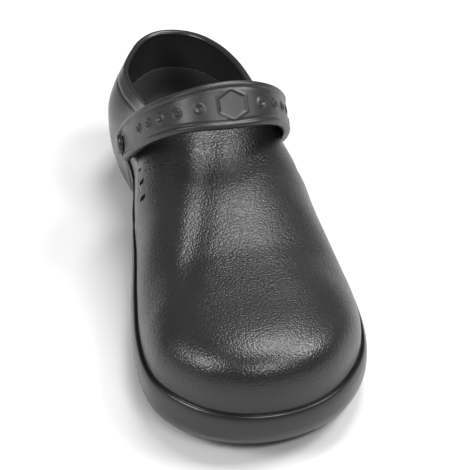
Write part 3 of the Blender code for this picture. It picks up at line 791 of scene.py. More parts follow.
@dataclass
class StrapPath:
    """The strap's middle line, swung forward over the instep about the pivots."""

    width: float = 18.5 * MM
    thick: float = 3.8 * MM
    reach: float = 75.0 * MM
    half: float = 43.0 * MM
    centre: float = 3.0 * MM
    tilt: float = math.radians(42.0)
    side_power: float = 0.76
    top_power: float = 1.05
    pivot_at: float = 0.34
    pivot_z: float = 57.0 * MM
    swell: float = 2.4 * MM
    swell_x: float = 6.0 * MM
    swell_reach: float = 22.0 * MM
    samples: int = 4001
    cap_start: float = 6.0
    offset: float = 0.0

    @property
    def pivot(self) -> np.ndarray:
        """Middle of the pivots' axis."""
        return np.array([self.offset, FORM.y_at(self.pivot_at), self.pivot_z])

    @property
    def ahead(self) -> np.ndarray:
        """Direction from the pivots to the strap's middle."""
        return np.array([0.0, -math.cos(self.tilt), math.sin(self.tilt)])

    @property
    def across(self) -> np.ndarray:
        """Direction across the band."""
        return np.array([0.0, math.sin(self.tilt), math.cos(self.tilt)])

    def line(self, count: int, cap: int) -> tuple[np.ndarray, np.ndarray, np.ndarray, np.ndarray]:
        """Points of the middle line.

        Args:
            count: Points over the arch.
            cap: Points in each round end.

        Returns:
            Points (x, reach), unit normals, half widths and distances from the medial pivot.
        """
        theta = np.linspace(0.0, math.pi, self.samples)
        c = np.cos(theta)
        x = self.centre - (self.half - self.thick / 2.0) * np.sign(c) * np.abs(c) ** self.side_power
        up = (self.reach - self.thick / 2.0) * np.sin(theta) ** self.top_power
        far = np.concatenate([[0.0], np.cumsum(np.hypot(np.diff(x), np.diff(up)))])
        even = np.linspace(0.0, far[-1], count)
        x, up = np.interp(even, far, x), np.interp(even, far, up)
        tail = self.width / 2.0
        angle = np.radians(np.linspace(self.cap_start, 90.0, cap + 1)[:-1])
        low = -tail * np.cos(angle)
        x = np.concatenate([np.full(cap, x[0]), x, np.full(cap, x[-1])])
        line = np.column_stack([x, np.concatenate([low, up, low[::-1]])])
        along = np.gradient(line, axis=0)
        along[:cap + 1], along[-cap - 1:] = (0.0, 1.0), (0.0, -1.0)
        along = unit(along)
        half = tail + self.swell * bell(line[:, 0] - self.swell_x, self.swell_reach)
        half[:cap] = tail * np.sin(angle)
        half[-cap:] = half[:cap][::-1]
        place = np.concatenate([low, even, far[-1] - low[::-1]])
        return line, np.column_stack([-along[:, 1], along[:, 0]]), half, place

    def at(self, x: np.ndarray, up: np.ndarray, w: np.ndarray) -> np.ndarray:
        """World points from x, reach along the tilt and distance across the band."""
        base = self.pivot + np.multiply.outer(x, (1.0, 0.0, 0.0))
        return base + np.multiply.outer(up, self.ahead) + np.multiply.outer(w, self.across)

    def faces(self, side: Side) -> tuple[float, float]:
        """X of the outer and inner face of the strap's end on one side."""
        outer = self.offset + self.centre + side.value * self.half
        return outer, outer - side.value * self.thick

    def bar(self, name: str, ends: tuple[float, float], radius: float, points: int = 64,
            finish: Finish | None = None) -> bpy.types.Object:
        """Round bar on the pivots' axis.

        Args:
            name: Name of the object.
            ends: X of both ends.
            radius: Radius of the bar.
            points: Points round it.
            finish: Finish of the object, if it has one.

        Returns:
            The bar.
        """
        _, y, z = self.pivot
        ring = [(y + radius * math.cos(a), z + radius * math.sin(a)) for a in circle(points)]
        return loft(name, [[(x, *point) for point in ring] for x in ends], finish)


@dataclass
class ClogBody:
    """The moulding: upper, sole wall and heel cup in one skin, hollow and open at the collar.

    Places along the shoe are shares of its length. A row's part is its place on the arch, 0 at the rim and 1
    at the collar or crown; rows of the sole wall have the part wall, rows of the underside the part under.
    """

    offset: float
    path: StrapPath
    # Sections along the shoe, closer at the waist and behind the throat.
    stations: int = 210
    waist: tuple[float, float] = (0.31, 0.48)
    waist_stations: int = 70
    throat_turn: float = 0.05
    throat_clear: float = 0.004
    throat_stations: int = 14
    throat_ease: float = 2.2
    least_step: float = 1e-5
    # Rows from the underside's middle line up to the collar, and back down inside.
    under: float = -2.0
    wall: float = -1.0
    under_parts: tuple[float, ...] = (0.0, 0.3, 0.6, 0.85, 0.96, 1.0)
    flank_rows: int = 18
    flank_ease: float = 1.25
    bumper_rows: int = 14
    bumper_power: float = 3.5
    lip_dips: tuple[tuple[float, float], ...] = (
        (0.12, 0.12), (0.30, 0.16), (0.48, 0.04), (0.64, -0.16), (0.80, -0.30), (0.92, -0.22))
    foot_part: float = 0.12
    foot_rows: int = 7
    arch_rows: int = 54
    inner_rows: int = 26
    corner_rows: int = 7
    floor_parts: tuple[float, ...] = (0.7, 0.35, 0.0)
    outward_row: int = 12
    probe: float = 0.01
    edge_points: int = 11
    edge_bulge: float = 0.9
    over_collar: Triple = (0.0, 90.0 * MM, 170.0 * MM)
    inside_point: Triple = (0.0, 0.0, 30.0 * MM)
    # Moulded lines: the waist panel's corners are places along the shoe and heights in mm.
    panel_corners: tuple[tuple[float, float], ...] = (
        (0.352, 8.0), (0.452, 8.0), (0.466, 22.0), (0.490, 38.0),
        (0.478, 53.0), (0.330, 61.0), (0.297, 50.0), (0.316, 24.0))
    panel_depth: float = 1.0 * MM
    panel_step: float = 0.6
    panel_groove: float = 0.7
    groove_width: float = 0.9
    step_width: float = 0.8
    band: float = 6.0 * MM
    band_line: float = 0.8 * MM
    band_depth: float = 0.3 * MM
    band_fade: float = 0.02
    fold_fade: float = 0.15
    folds: tuple[Fold, ...] = (
        Fold(0.21, 0.42, 0.74, 0.20, 0.8, -0.054),
        Fold(0.054, 0.44, 0.72, 0.09, -1.0, -0.32),
        Fold(-0.084, 0.45, 0.74, 0.13, 0.7, -0.33),
    )
    # Bosses, holes and ribs.
    boss: float = 8.0 * MM
    boss_sink: float = 0.6 * MM
    pin: float = 3.9 * MM
    pin_reach: tuple[float, float] = (10.0 * MM, 70.0 * MM)
    clinch: float = 6.5 * MM
    vents: tuple[tuple[float, float], ...] = ((0.438, 57.0), (0.473, 56.5), (0.508, 54.0))
    vent: tuple[float, float, float, float] = (6.0 * MM, 2.8 * MM, 7.0 * MM, 0.8 * MM)
    vent_turn: float = math.radians(62.0)
    dots: tuple[int, int] = (2, 4)
    dot_start: tuple[float, float] = (0.448, 63.0)
    dot_row: tuple[float, float] = (0.017, -1.3)
    dot_column: tuple[float, float] = (0.011, 2.4)
    dot: tuple[float, float, float, float] = (1.1 * MM, 1.0 * MM, 1.0 * MM, 0.4 * MM)
    stamp_profile: tuple[tuple[float, float, float], ...] = (
        (0.72, -1.0, 0.0), (0.92, -0.4, 0.0), (1.0, 0.0, 0.0), (1.3, 0.0, 1.0))
    rib_x: tuple[float, float] = (-5.0 * MM, 12.0 * MM)
    rib_reach: tuple[float, float] = (0.392, 0.460)
    rib_profile: tuple[tuple[float, float], ...] = (
        (1.5 * MM, 3.0 * MM), (2.0 * MM, 3.5 * MM), (2.0 * MM, 9.0 * MM))
    # Grain mask: over the rim, ahead of a slanting line, and less on the toe.
    smooth_grain: float = 0.08
    grain_rise: tuple[float, float] = (0.5 * MM, 4.0 * MM)
    grain_front: tuple[float, float] = (0.43, 0.50)
    grain_height: float = 55.0 * MM
    grain_slant: float = 3.0
    grain_toe: tuple[float, float] = (0.70, 0.86)
    grain_toe_loss: float = 0.45
    # Angle in degrees above which an edge stays sharp.
    sharp: float = 42.0

    def turns(self) -> np.ndarray:
        """Turns of the sections.

        Returns:
            The turns, rising, with one at the throat.
        """
        throat = float(FORM.turn_of(THROAT))
        even = np.linspace(0.0, math.pi, self.stations)
        every = np.concatenate([even, np.linspace(*FORM.turn_of(self.waist), self.waist_stations)])
        every = every[(every < throat - self.throat_turn) | (every > throat + self.throat_clear)]
        ease = np.linspace(0.0, 1.0, self.throat_stations) ** self.throat_ease
        every = np.sort(np.concatenate([every, throat - self.throat_turn * ease]))
        return every[np.concatenate([[True], np.diff(every) > self.least_step])]

    def outer(self, turn: np.ndarray, side: Side) -> tuple[np.ndarray, np.ndarray]:
        """Rows of the outer skin from the underside's middle line to the collar or crown.

        Args:
            turn: Turns of the sections.
            side: Side of the shoe.

        Returns:
            Grid of points, and the part of each row.
        """
        belly, rim, ledge, tuck = (FORM.column(name, turn) for name in ("belly", "rim", "ledge", "tuck"))
        edge, middle = FORM.inset(turn, side, tuck), FORM.spine(turn)
        under = [FORM.on_level(middle + (edge - middle) * part, UNDERSIDE) for part in self.under_parts]
        wall = []
        for part in np.linspace(0.0, 1.0, self.flank_rows)[1:] ** self.flank_ease:
            plan = FORM.inset(turn, side, tuck * (1.0 - part) ** FORM.flank_power)
            low = FORM.level(UNDERSIDE, plan[:, 1])
            wall.append(np.column_stack([plan, low + (belly - low) * part]))
        for part in np.linspace(0.0, 1.0, self.bumper_rows)[1:]:
            plan = FORM.inset(turn, side, FORM.lean * ledge * part ** self.bumper_power)
            wall.append(np.column_stack([plan, belly + (rim - belly) * part]))
        for part, dip in self.lip_dips:
            plan = FORM.inset(turn, side, (FORM.lean + part) * ledge)
            wall.append(np.column_stack([plan, rim + ledge * (FORM.ledge_rise * part + dip)]))
        parts = np.concatenate([np.linspace(0.0, self.foot_part, self.foot_rows)[:-1],
                                np.linspace(self.foot_part, 1.0, self.arch_rows)])
        arch = [FORM.arch(turn, side, 0.0, part) for part in parts]
        below = [self.under] * len(under) + [self.wall] * len(wall)
        return np.stack(under + wall + arch), np.concatenate([below, parts])

    def inner(self, turn: np.ndarray, side: Side) -> np.ndarray:
        """Rows of the inner skin from the collar or crown down to the floor's middle line.

        Args:
            turn: Turns of the sections.
            side: Side of the shoe.

        Returns:
            Grid of points.
        """
        rows = [FORM.arch(turn, side, FORM.wall, part) for part in np.linspace(1.0, 0.0, self.inner_rows)]
        back, corner = FORM.inner_inset(turn), FORM.floor_corner
        for angle in np.linspace(0.0, math.pi / 2.0, self.corner_rows):
            plan = FORM.inset(turn, side, back + corner * (1.0 - math.cos(angle)))
            rows.append(FORM.on_level(plan, FLOOR, corner * (1.0 - math.sin(angle))))
        edge, middle = rows[-1][:, :2], FORM.spine(turn)
        rows.extend(FORM.on_level(middle + (edge - middle) * part, FLOOR) for part in self.floor_parts)
        return np.stack(rows)

    def panel(self, share: np.ndarray, z: np.ndarray) -> np.ndarray:
        """Depth of the recessed waist panel and of the groove along its edge.

        Args:
            share: Places along the shoe.
            z: Heights in metres.

        Returns:
            Heights over the skin, in metres.
        """
        points = np.stack([share * FORM.length / MM, z / MM], axis=-1)
        ring = np.array(self.panel_corners) * (FORM.length / MM, 1.0)
        inside = np.zeros(share.shape, bool)
        best = np.full(share.shape, np.inf)
        for a, b in zip(ring, np.roll(ring, -1, axis=0)):
            run = b - a
            t = np.clip(((points - a) @ run) / (run @ run), 0.0, 1.0)
            best = np.minimum(best, np.linalg.norm(points - (a + t[..., None] * run), axis=-1))
            crosses = (a[1] > points[..., 1]) != (b[1] > points[..., 1])
            meets = a[0] + (points[..., 1] - a[1]) / (run[1] or TINY) * run[0]
            inside ^= crosses & (points[..., 0] < meets)
        signed = np.where(inside, best, -best)
        step = smooth(-self.step_width, self.step_width, signed) * self.panel_step
        return -self.panel_depth * (step + bell(signed, self.groove_width) * self.panel_groove)

    def relief(self, grid: np.ndarray, parts: np.ndarray, turn: np.ndarray, side: Side) -> np.ndarray:
        """Height of the moulded lines and soft folds over the plain skin.

        Args:
            grid: Points of one side's outer skin.
            parts: Part of each row.
            turn: Turns of the sections.
            side: Side of the shoe.

        Returns:
            Heights along the skin's normals.
        """
        share = FORM.share_of(grid[..., 1])
        height = self.panel(share, grid[..., 2]) * (parts[:, None] > self.under)
        across = side.value * (1.0 - np.clip(parts, 0.0, 1.0)[:, None])
        folds = sum(fold.height_at(share, across) for fold in self.folds)
        height = height + folds * smooth(0.0, self.fold_fade, parts)[:, None]
        steps = np.linalg.norm(np.diff(grid, axis=0), axis=-1)
        from_edge = np.concatenate([np.cumsum(steps[::-1], axis=0)[::-1], np.zeros((1, len(turn)))])
        opened = smooth(THROAT, THROAT - self.band_fade, FORM.share_at(turn))
        return height - self.band_depth * bell(from_edge - self.band, self.band_line) * opened

    def edge_rows(self, outer: np.ndarray, inner: np.ndarray) -> list[np.ndarray]:
        """Rounded edge of the collar.

        Args:
            outer: Last row of the outer skin.
            inner: First row of the inner skin.

        Returns:
            The rows between them.
        """
        middle = (outer + inner) / 2.0
        along = np.gradient(middle, axis=0)
        along[0] = along[-1] = (1.0, 0.0, 0.0)
        across = inner - outer
        out = unit(np.cross(along, across))
        out *= np.sign(np.sum(out * (np.array(self.over_collar) - middle), axis=1))[:, None]
        size = np.linalg.norm(across, axis=1)[:, None] / 2.0 * self.edge_bulge
        angles = np.linspace(0.0, math.pi, self.edge_points)[1:-1]
        return [outer + across * (1.0 - math.cos(a)) / 2.0 + out * size * math.sin(a) for a in angles]

    def build_mesh(self, bm: bmesh.types.BMesh) -> None:
        """Both sides of the moulding, welded.

        Args:
            bm: Mesh that is filled.
        """
        turn = self.turns()
        shut = turn >= float(FORM.turn_of(THROAT)) - TINY
        grids, parts, normals = {}, {}, {}
        for side in Side:
            grids[side], parts[side] = self.outer(turn, side)
            normals[side] = grid_normals(grids[side])
            row = normals[side][self.outward_row] * (grids[side][self.outward_row] - self.inside_point)
            normals[side] *= np.sign(row.sum())
        # The two sides share their normals where they meet, so the relief leaves no gap there.
        for seam in ((-1, shut), (slice(None), 0), (slice(None), -1), (0, slice(None))):
            mean = unit(normals[Side.MEDIAL][seam] + normals[Side.LATERAL][seam])
            normals[Side.MEDIAL][seam] = normals[Side.LATERAL][seam] = mean
        opened = int(np.sum(~shut)) + 1
        for side in Side:
            height = self.relief(grids[side], parts[side], turn, side)
            grid, inner = grids[side] + normals[side] * height[..., None], self.inner(turn, side)
            first, last = grid[-1, :opened], inner[0, :opened]
            skin(bm, grid)
            skin(bm, inner, 1)
            skin(bm, [first, *self.edge_rows(first, last), last])
        bmesh.ops.translate(bm, vec=(self.offset, 0.0, 0.0), verts=bm.verts)
        close(bm)

    def wall_point(self, side: Side, share: float, z: float, depth: float = 0.0,
                   samples: int = 60) -> tuple[np.ndarray, np.ndarray]:
        """Point of the upper's wall.

        Args:
            side: Side of the shoe.
            share: Place along the shoe.
            z: Height.
            depth: Distance inside the outer skin.
            samples: Points tried on the arch.

        Returns:
            The point and the outward normal.
        """
        turn = FORM.turn_of([share])
        parts = np.linspace(0.0, 1.0, samples)
        points = np.array([FORM.arch(turn, side, depth, part)[0] for part in parts])
        point = np.array([np.interp(z, points[:, 2], points[:, k]) for k in range(3)])
        i = int(np.clip(np.searchsorted(points[:, 2], z), 1, samples - 1))
        up = unit(points[i] - points[i - 1])
        ahead = FORM.arch(turn + self.probe, side, depth, parts[i])[0] - points[i]
        normal = unit(np.cross(up, ahead))
        return point + (self.offset, 0.0, 0.0), normal * np.sign(normal[0]) * side.value

    def oval_stamp(self, name: str, length: float, width: float, deep: float,
                   proud: float) -> bpy.types.Object:
        """Straight-sided oval pin along Z, used to cut vents and pin holes.

        Args:
            name: Name of the object.
            length: Length of the oval.
            width: Width of the oval.
            deep: Reach below the skin.
            proud: Reach above the skin.

        Returns:
            The pin.
        """
        half, round_end = (length - width) / 2.0, np.linspace(-math.pi / 2.0, math.pi / 2.0, 9)
        ring = np.array([(end * (half + width / 2.0 * math.cos(a)), end * width / 2.0 * math.sin(a))
                         for end in (1.0, -1.0) for a in round_end])
        levels = [(ring * size, low * deep + high * proud) for size, low, high in self.stamp_profile]
        return loft(name, raised(levels))

    def cut_holes(self, body: bpy.types.Object) -> None:
        """Cut the vents and the field of pin holes in the medial side.

        Args:
            body: The moulding.
        """
        rows, columns = self.dots
        start, row, column = (np.array(step) for step in (self.dot_start, self.dot_row, self.dot_column))
        dots = [start + i * row + j * column for i in range(rows) for j in range(columns)]
        cutters = []
        for name, places, size, spin in (("vent", self.vents, self.vent, self.vent_turn),
                                         ("pin", dots, self.dot, 0.0)):
            spots = [self.wall_point(Side.MEDIAL, at, z * MM) for at, z in places]
            stamp = self.oval_stamp(name + "_stamp", *size)
            cutters.append(scatter(name + "_cut", spots, stamp, FOAM_INSIDE, spin))
        combine(body, cutters, Join.CUT)

    def waist_rib(self, x: float) -> bpy.types.Object:
        """One rib under the arch.

        Args:
            x: Place across the shoe.

        Returns:
            The rib.
        """
        back, front = (FORM.y_at(share) for share in self.rib_reach)
        levels = []
        for half, z in self.rib_profile:
            left, right = self.offset + x - half, self.offset + x + half
            levels.append((((left, back), (right, back), (right, front), (left, front)), z))
        return loft("waist_rib", raised(levels), FOAM)

    def inside_face(self, side: Side) -> float:
        """X of the boss's flat inner face."""
        point, _ = self.wall_point(side, self.path.pivot_at, self.path.pivot_z + self.clinch, FORM.wall)
        return float(point[0]) - side.value * self.boss_sink

    def build(self, pockets: Sequence[bpy.types.Object]) -> bpy.types.Object:
        """Build the moulding and cut it out.

        Args:
            pockets: Cutters of the tread inserts' pockets.

        Returns:
            The finished body.
        """
        body = mesh_object("moulded_body", self.build_mesh, FOAM)
        body.data.materials.append(FOAM_INSIDE.make())
        bosses, holes = [], []
        for side in Side:
            ends = (self.inside_face(side), self.path.faces(side)[1] - side.value * FORM.gap)
            bosses.append(self.path.bar("boss", ends, self.boss, finish=FOAM))
            ends = tuple(side.value * x for x in self.pin_reach)
            holes.append(self.path.bar("pin_hole", ends, self.pin, finish=FOAM))
        combine(body, [*bosses, *(self.waist_rib(x) for x in self.rib_x)], Join.ADD)
        combine(body, [*holes, *pockets], Join.CUT)
        self.cut_holes(body)
        self.mark_grain(body.data)
        shade(body, self.sharp)
        return body

    def mark_grain(self, mesh: bpy.types.Mesh) -> None:
        """Store how grained the skin is: full on the vamp, less on the toe, smooth sides, rim and sole wall.

        Args:
            mesh: Mesh of the moulding.
        """
        co = np.empty(len(mesh.vertices) * 3)
        mesh.vertices.foreach_get("co", co)
        _, y, z = co.reshape(-1, 3).T
        share = FORM.share_of(y)
        above = smooth(*self.grain_rise, z - FORM.foot_height(FORM.turn_of(share)))
        front = smooth(*self.grain_front, share + (z - self.grain_height) * self.grain_slant)
        toe = 1.0 - self.grain_toe_loss * smooth(*self.grain_toe, share)
        mask = np.clip(self.smooth_grain + above * front * toe, 0.0, 1.0)
        mesh.attributes.new(GRAIN_MASK, "FLOAT", "POINT").data.foreach_set("value", mask.astype(np.float32))


@dataclass(frozen=True)
class Line:
    """A soft moulded line: distance from its middle or edge, width and height, in mm."""

    at: float
    width: float
    height: float

    def over(self, distance: np.ndarray) -> np.ndarray:
        """Height in metres at distances in metres."""
        return self.height * MM * bell(distance - self.at * MM, self.width * MM)


@dataclass
class HeelStrap:
    """The band: beads along both edges, ring dimples, a plain six-sided field and a recess at each end."""

    path: StrapPath
    arch_points: int = 420
    cap_points: int = 22
    face_points: int = 44
    edge_round: float = 1.1 * MM
    edge_share: float = 0.6
    edge_points: int = 6
    edge_lines: tuple[Line, ...] = (Line(1.9, 0.75, 0.45), Line(3.4, 0.6, -0.4))
    ring_lines: tuple[Line, ...] = (Line(2.0, 0.55, 0.55), Line(0.0, 0.95, -0.5))
    rings: tuple[float, ...] = (-55.0, -44.5, -34.0, -23.0, -12.0, 19.0, 29.5, 40.0, 50.0)
    field: float = 6.6 * MM
    field_at: float = 3.7 * MM
    field_line: Line = Line(6.6, 0.55, 0.35)
    field_depth: float = 0.35 * MM
    field_slope: float = 1.0 * MM
    oval_half: float = 4.5 * MM
    oval_line: Line = Line(6.6, 0.6, 0.3)
    oval_wall: tuple[float, float] = (6.3 * MM, 5.7 * MM)
    oval_depth: float = 0.7 * MM
    oval_reach: tuple[float, float] = (24.0 * MM, 20.0 * MM)
    relief_fade: float = 4.0 * MM
    eye: float = 3.9 * MM
    eye_points: int = 48
    eye_reach: float = 80.0 * MM
    sharp: float = 50.0

    def profile(self, half: float) -> tuple[np.ndarray, np.ndarray, np.ndarray]:
        """Closed section of the band.

        Args:
            half: Half width of the band.

        Returns:
            Distances across, heights from the middle, and 1 on the outer face.
        """
        edge, thick = min(self.edge_round, half * self.edge_share), self.path.thick / 2.0
        face = np.linspace(1.0, -1.0, self.face_points) * (half - edge)
        turn = np.linspace(0.0, math.pi / 2.0, self.edge_points)[1:-1]
        out = half - edge + edge * np.sin(turn)
        up = thick - edge + edge * np.cos(turn)
        w = np.concatenate([face, -out, -out[::-1]])
        t = np.concatenate([np.full(len(face), thick), up, -up[::-1]])
        mask = np.zeros(2 * len(w))
        mask[:len(face)] = 1.0
        return np.concatenate([w, -w]), np.concatenate([t, -t]), mask

    def relief(self, place: float, w: np.ndarray, half: float, total: float) -> np.ndarray:
        """Height of the moulded detail on the outer face.

        Args:
            place: Distance along the band from the medial pivot.
            w: Distances across the band.
            half: Half width of the band there.
            total: Distance between the pivots along the band.

        Returns:
            Heights in metres.
        """
        mid = place - total / 2.0
        height = sum(line.over(half - np.abs(w)) for line in self.edge_lines)
        for spot in self.rings:
            far = np.hypot(mid - spot * MM, w)
            height = height + sum(line.over(far) for line in self.ring_lines)
        corners = (0.0, math.pi / 3.0, -math.pi / 3.0)
        six = np.max([np.abs((mid - self.field_at) * math.cos(a) + w * math.sin(a)) for a in corners], axis=0)
        height += self.field_line.over(six)
        height -= self.field_depth * smooth(self.field, self.field - self.field_slope, six)
        end = min(abs(place), abs(total - place))
        oval = np.hypot(max(end - self.oval_half, 0.0), w)
        recess = self.oval_line.over(oval) - self.oval_depth * smooth(*self.oval_wall, oval)
        return height + smooth(*self.oval_reach, end) * recess

    def build(self) -> bpy.types.Object:
        """Build the band with its eyes.

        Returns:
            The finished strap.
        """
        line, normal, half, place = self.path.line(self.arch_points, self.cap_points)
        total = place[-1] + place[0]
        rings = []
        for (x, up), (nx, nup), wide, s in zip(line, normal, half, place):
            w, t, mask = self.profile(wide)
            t = t + mask * self.relief(s, w, wide, total) * smooth(0.0, self.relief_fade, wide)
            rings.append(self.path.at(x + t * nx, up + t * nup, w))
        strap = loft("heel_strap_band", rings, STRAP_FOAM)
        eyes = self.path.bar("eye", (-self.eye_reach, self.eye_reach), self.eye, self.eye_points)
        combine(strap, [eyes], Join.CUT)
        shade(strap, self.sharp)
        return strap


@dataclass
class PivotStud:
    """Pin that holds one end of the strap: oval domed cap outside, round clinched head inside."""

    path: StrapPath
    side: Side
    inside: float
    length: float = 17.0 * MM
    width: float = 9.5 * MM
    cap: float = 2.5 * MM
    cap_round: float = 1.6 * MM
    cap_angles: tuple[float, ...] = (88.0, 62.0, 44.0, 30.0, 15.0, 0.0)
    shank: float = 3.6 * MM
    clinch: float = 6.5 * MM
    clinch_thick: float = 1.8 * MM
    clinch_round: float = 1.2 * MM
    clinch_angles: tuple[float, ...] = (20.0, 45.0, 70.0, 88.0)
    points: int = 64
    sharp: float = 35.0

    def ring(self, x: float, pull: float, radius: float) -> list[Triple]:
        """Round or oval ring across the pin, its long side along the strap.

        Args:
            x: Place along the pin.
            pull: Distance by which the two halves are drawn apart.
            radius: Radius of the round ends.

        Returns:
            The points.
        """
        points = []
        for a in circle(self.points):
            u = radius * math.cos(a) + pull * float(np.sign(round(math.cos(a), 6)))
            _, y, z = self.path.pivot + u * self.path.ahead - radius * math.sin(a) * self.path.across
            points.append((x, y, z))
        return points

    def build(self) -> bpy.types.Object:
        """Build the stud as one turned and stretched body.

        Returns:
            The finished stud.
        """
        sign = self.side.value
        start = self.path.faces(self.side)[0] + sign * FORM.gap
        head = self.inside - sign * FORM.gap
        half, pull = self.width / 2.0, (self.length - self.width) / 2.0
        rings = [self.ring(start + sign * self.cap * math.sin(a), pull,
                           half - self.cap_round * (1.0 - math.cos(a)))
                 for a in np.radians(self.cap_angles)]
        rings += [self.ring(x, 0.0, radius)
                  for x, radius in ((start, self.shank), (head, self.shank), (head, self.clinch))]
        rings += [self.ring(head - sign * self.clinch_thick * math.sin(a), 0.0,
                            self.clinch - self.clinch_round * (1.0 - math.cos(a)))
                  for a in np.radians(self.clinch_angles)]
        stud = loft("pivot_pin_" + self.side.name.lower(), rings, STUD_PLASTIC)
        shade(stud, self.sharp)
        return stud


@dataclass
class Insole:
    """Footbed lying on the moulded floor, its rounded edge along the wall and drawn up round the heel."""

    offset: float
    thick: float = 4.0 * MM
    foot: float = 3.9 * MM
    edge: float = 0.8 * MM
    edge_drop: float = 1.4 * MM
    cup_wall: float = 1.8 * MM
    cup_round: float = 0.4 * MM
    cup_rows: int = 7
    under_parts: tuple[float, ...] = (0.0, 0.5, 0.85, 1.0)
    cup_foot: tuple[tuple[float, float], ...] = ((0.02, 0.4), (0.05, 0.08), (0.09, 0.0))
    top_parts: tuple[float, ...] = (0.86, 0.8, 0.72, 0.6, 0.45, 0.3, 0.15, 0.0)
    stations: int = 160
    sharp: float = 60.0

    def build(self) -> bpy.types.Object:
        """Build the footbed.

        Returns:
            The finished insole.
        """
        insole = mesh_object("footbed", self.build_mesh, FOOTBED)
        shade(insole, self.sharp)
        return insole

    def build_mesh(self, bm: bmesh.types.BMesh) -> None:
        """Both halves of the footbed, welded.

        Args:
            bm: Mesh that is filled.
        """
        turn = np.linspace(0.0, math.pi, self.stations)
        back, middle = FORM.inner_inset(turn), FORM.spine(turn)
        top = self.thick + FORM.gap
        rise = FORM.level(HEEL_CUP, FORM.y_of(turn))
        for side in Side:
            foot = FORM.inset(turn, side, back + self.foot)
            edge = FORM.inset(turn, side, back + self.edge)
            cup = FORM.inset(turn, side, back + self.edge + self.cup_wall)
            rows = [FORM.on_level(middle + (foot - middle) * part, FLOOR, FORM.gap)
                    for part in self.under_parts]
            rows.append(FORM.on_level(edge, FLOOR, top - self.edge_drop))
            for a in np.linspace(0.0, math.pi, self.cup_rows):
                over = self.cup_wall / 2.0 * (1.0 - math.cos(a))
                plan = FORM.inset(turn, side, back + self.edge + over)
                rows.append(FORM.on_level(plan, FLOOR, top + rise + self.cup_round * (math.sin(a) - 1.0)))
            rows += [FORM.on_level(cup + (middle - cup) * part, FLOOR, top + rise * share)
                     for part, share in self.cup_foot]
            rows += [FORM.on_level(middle + (edge - middle) * part, FLOOR, top) for part in self.top_parts]
            skin(bm, rows)
        bmesh.ops.translate(bm, vec=(self.offset, 0.0, 0.0), verts=bm.verts)
        close(bm)


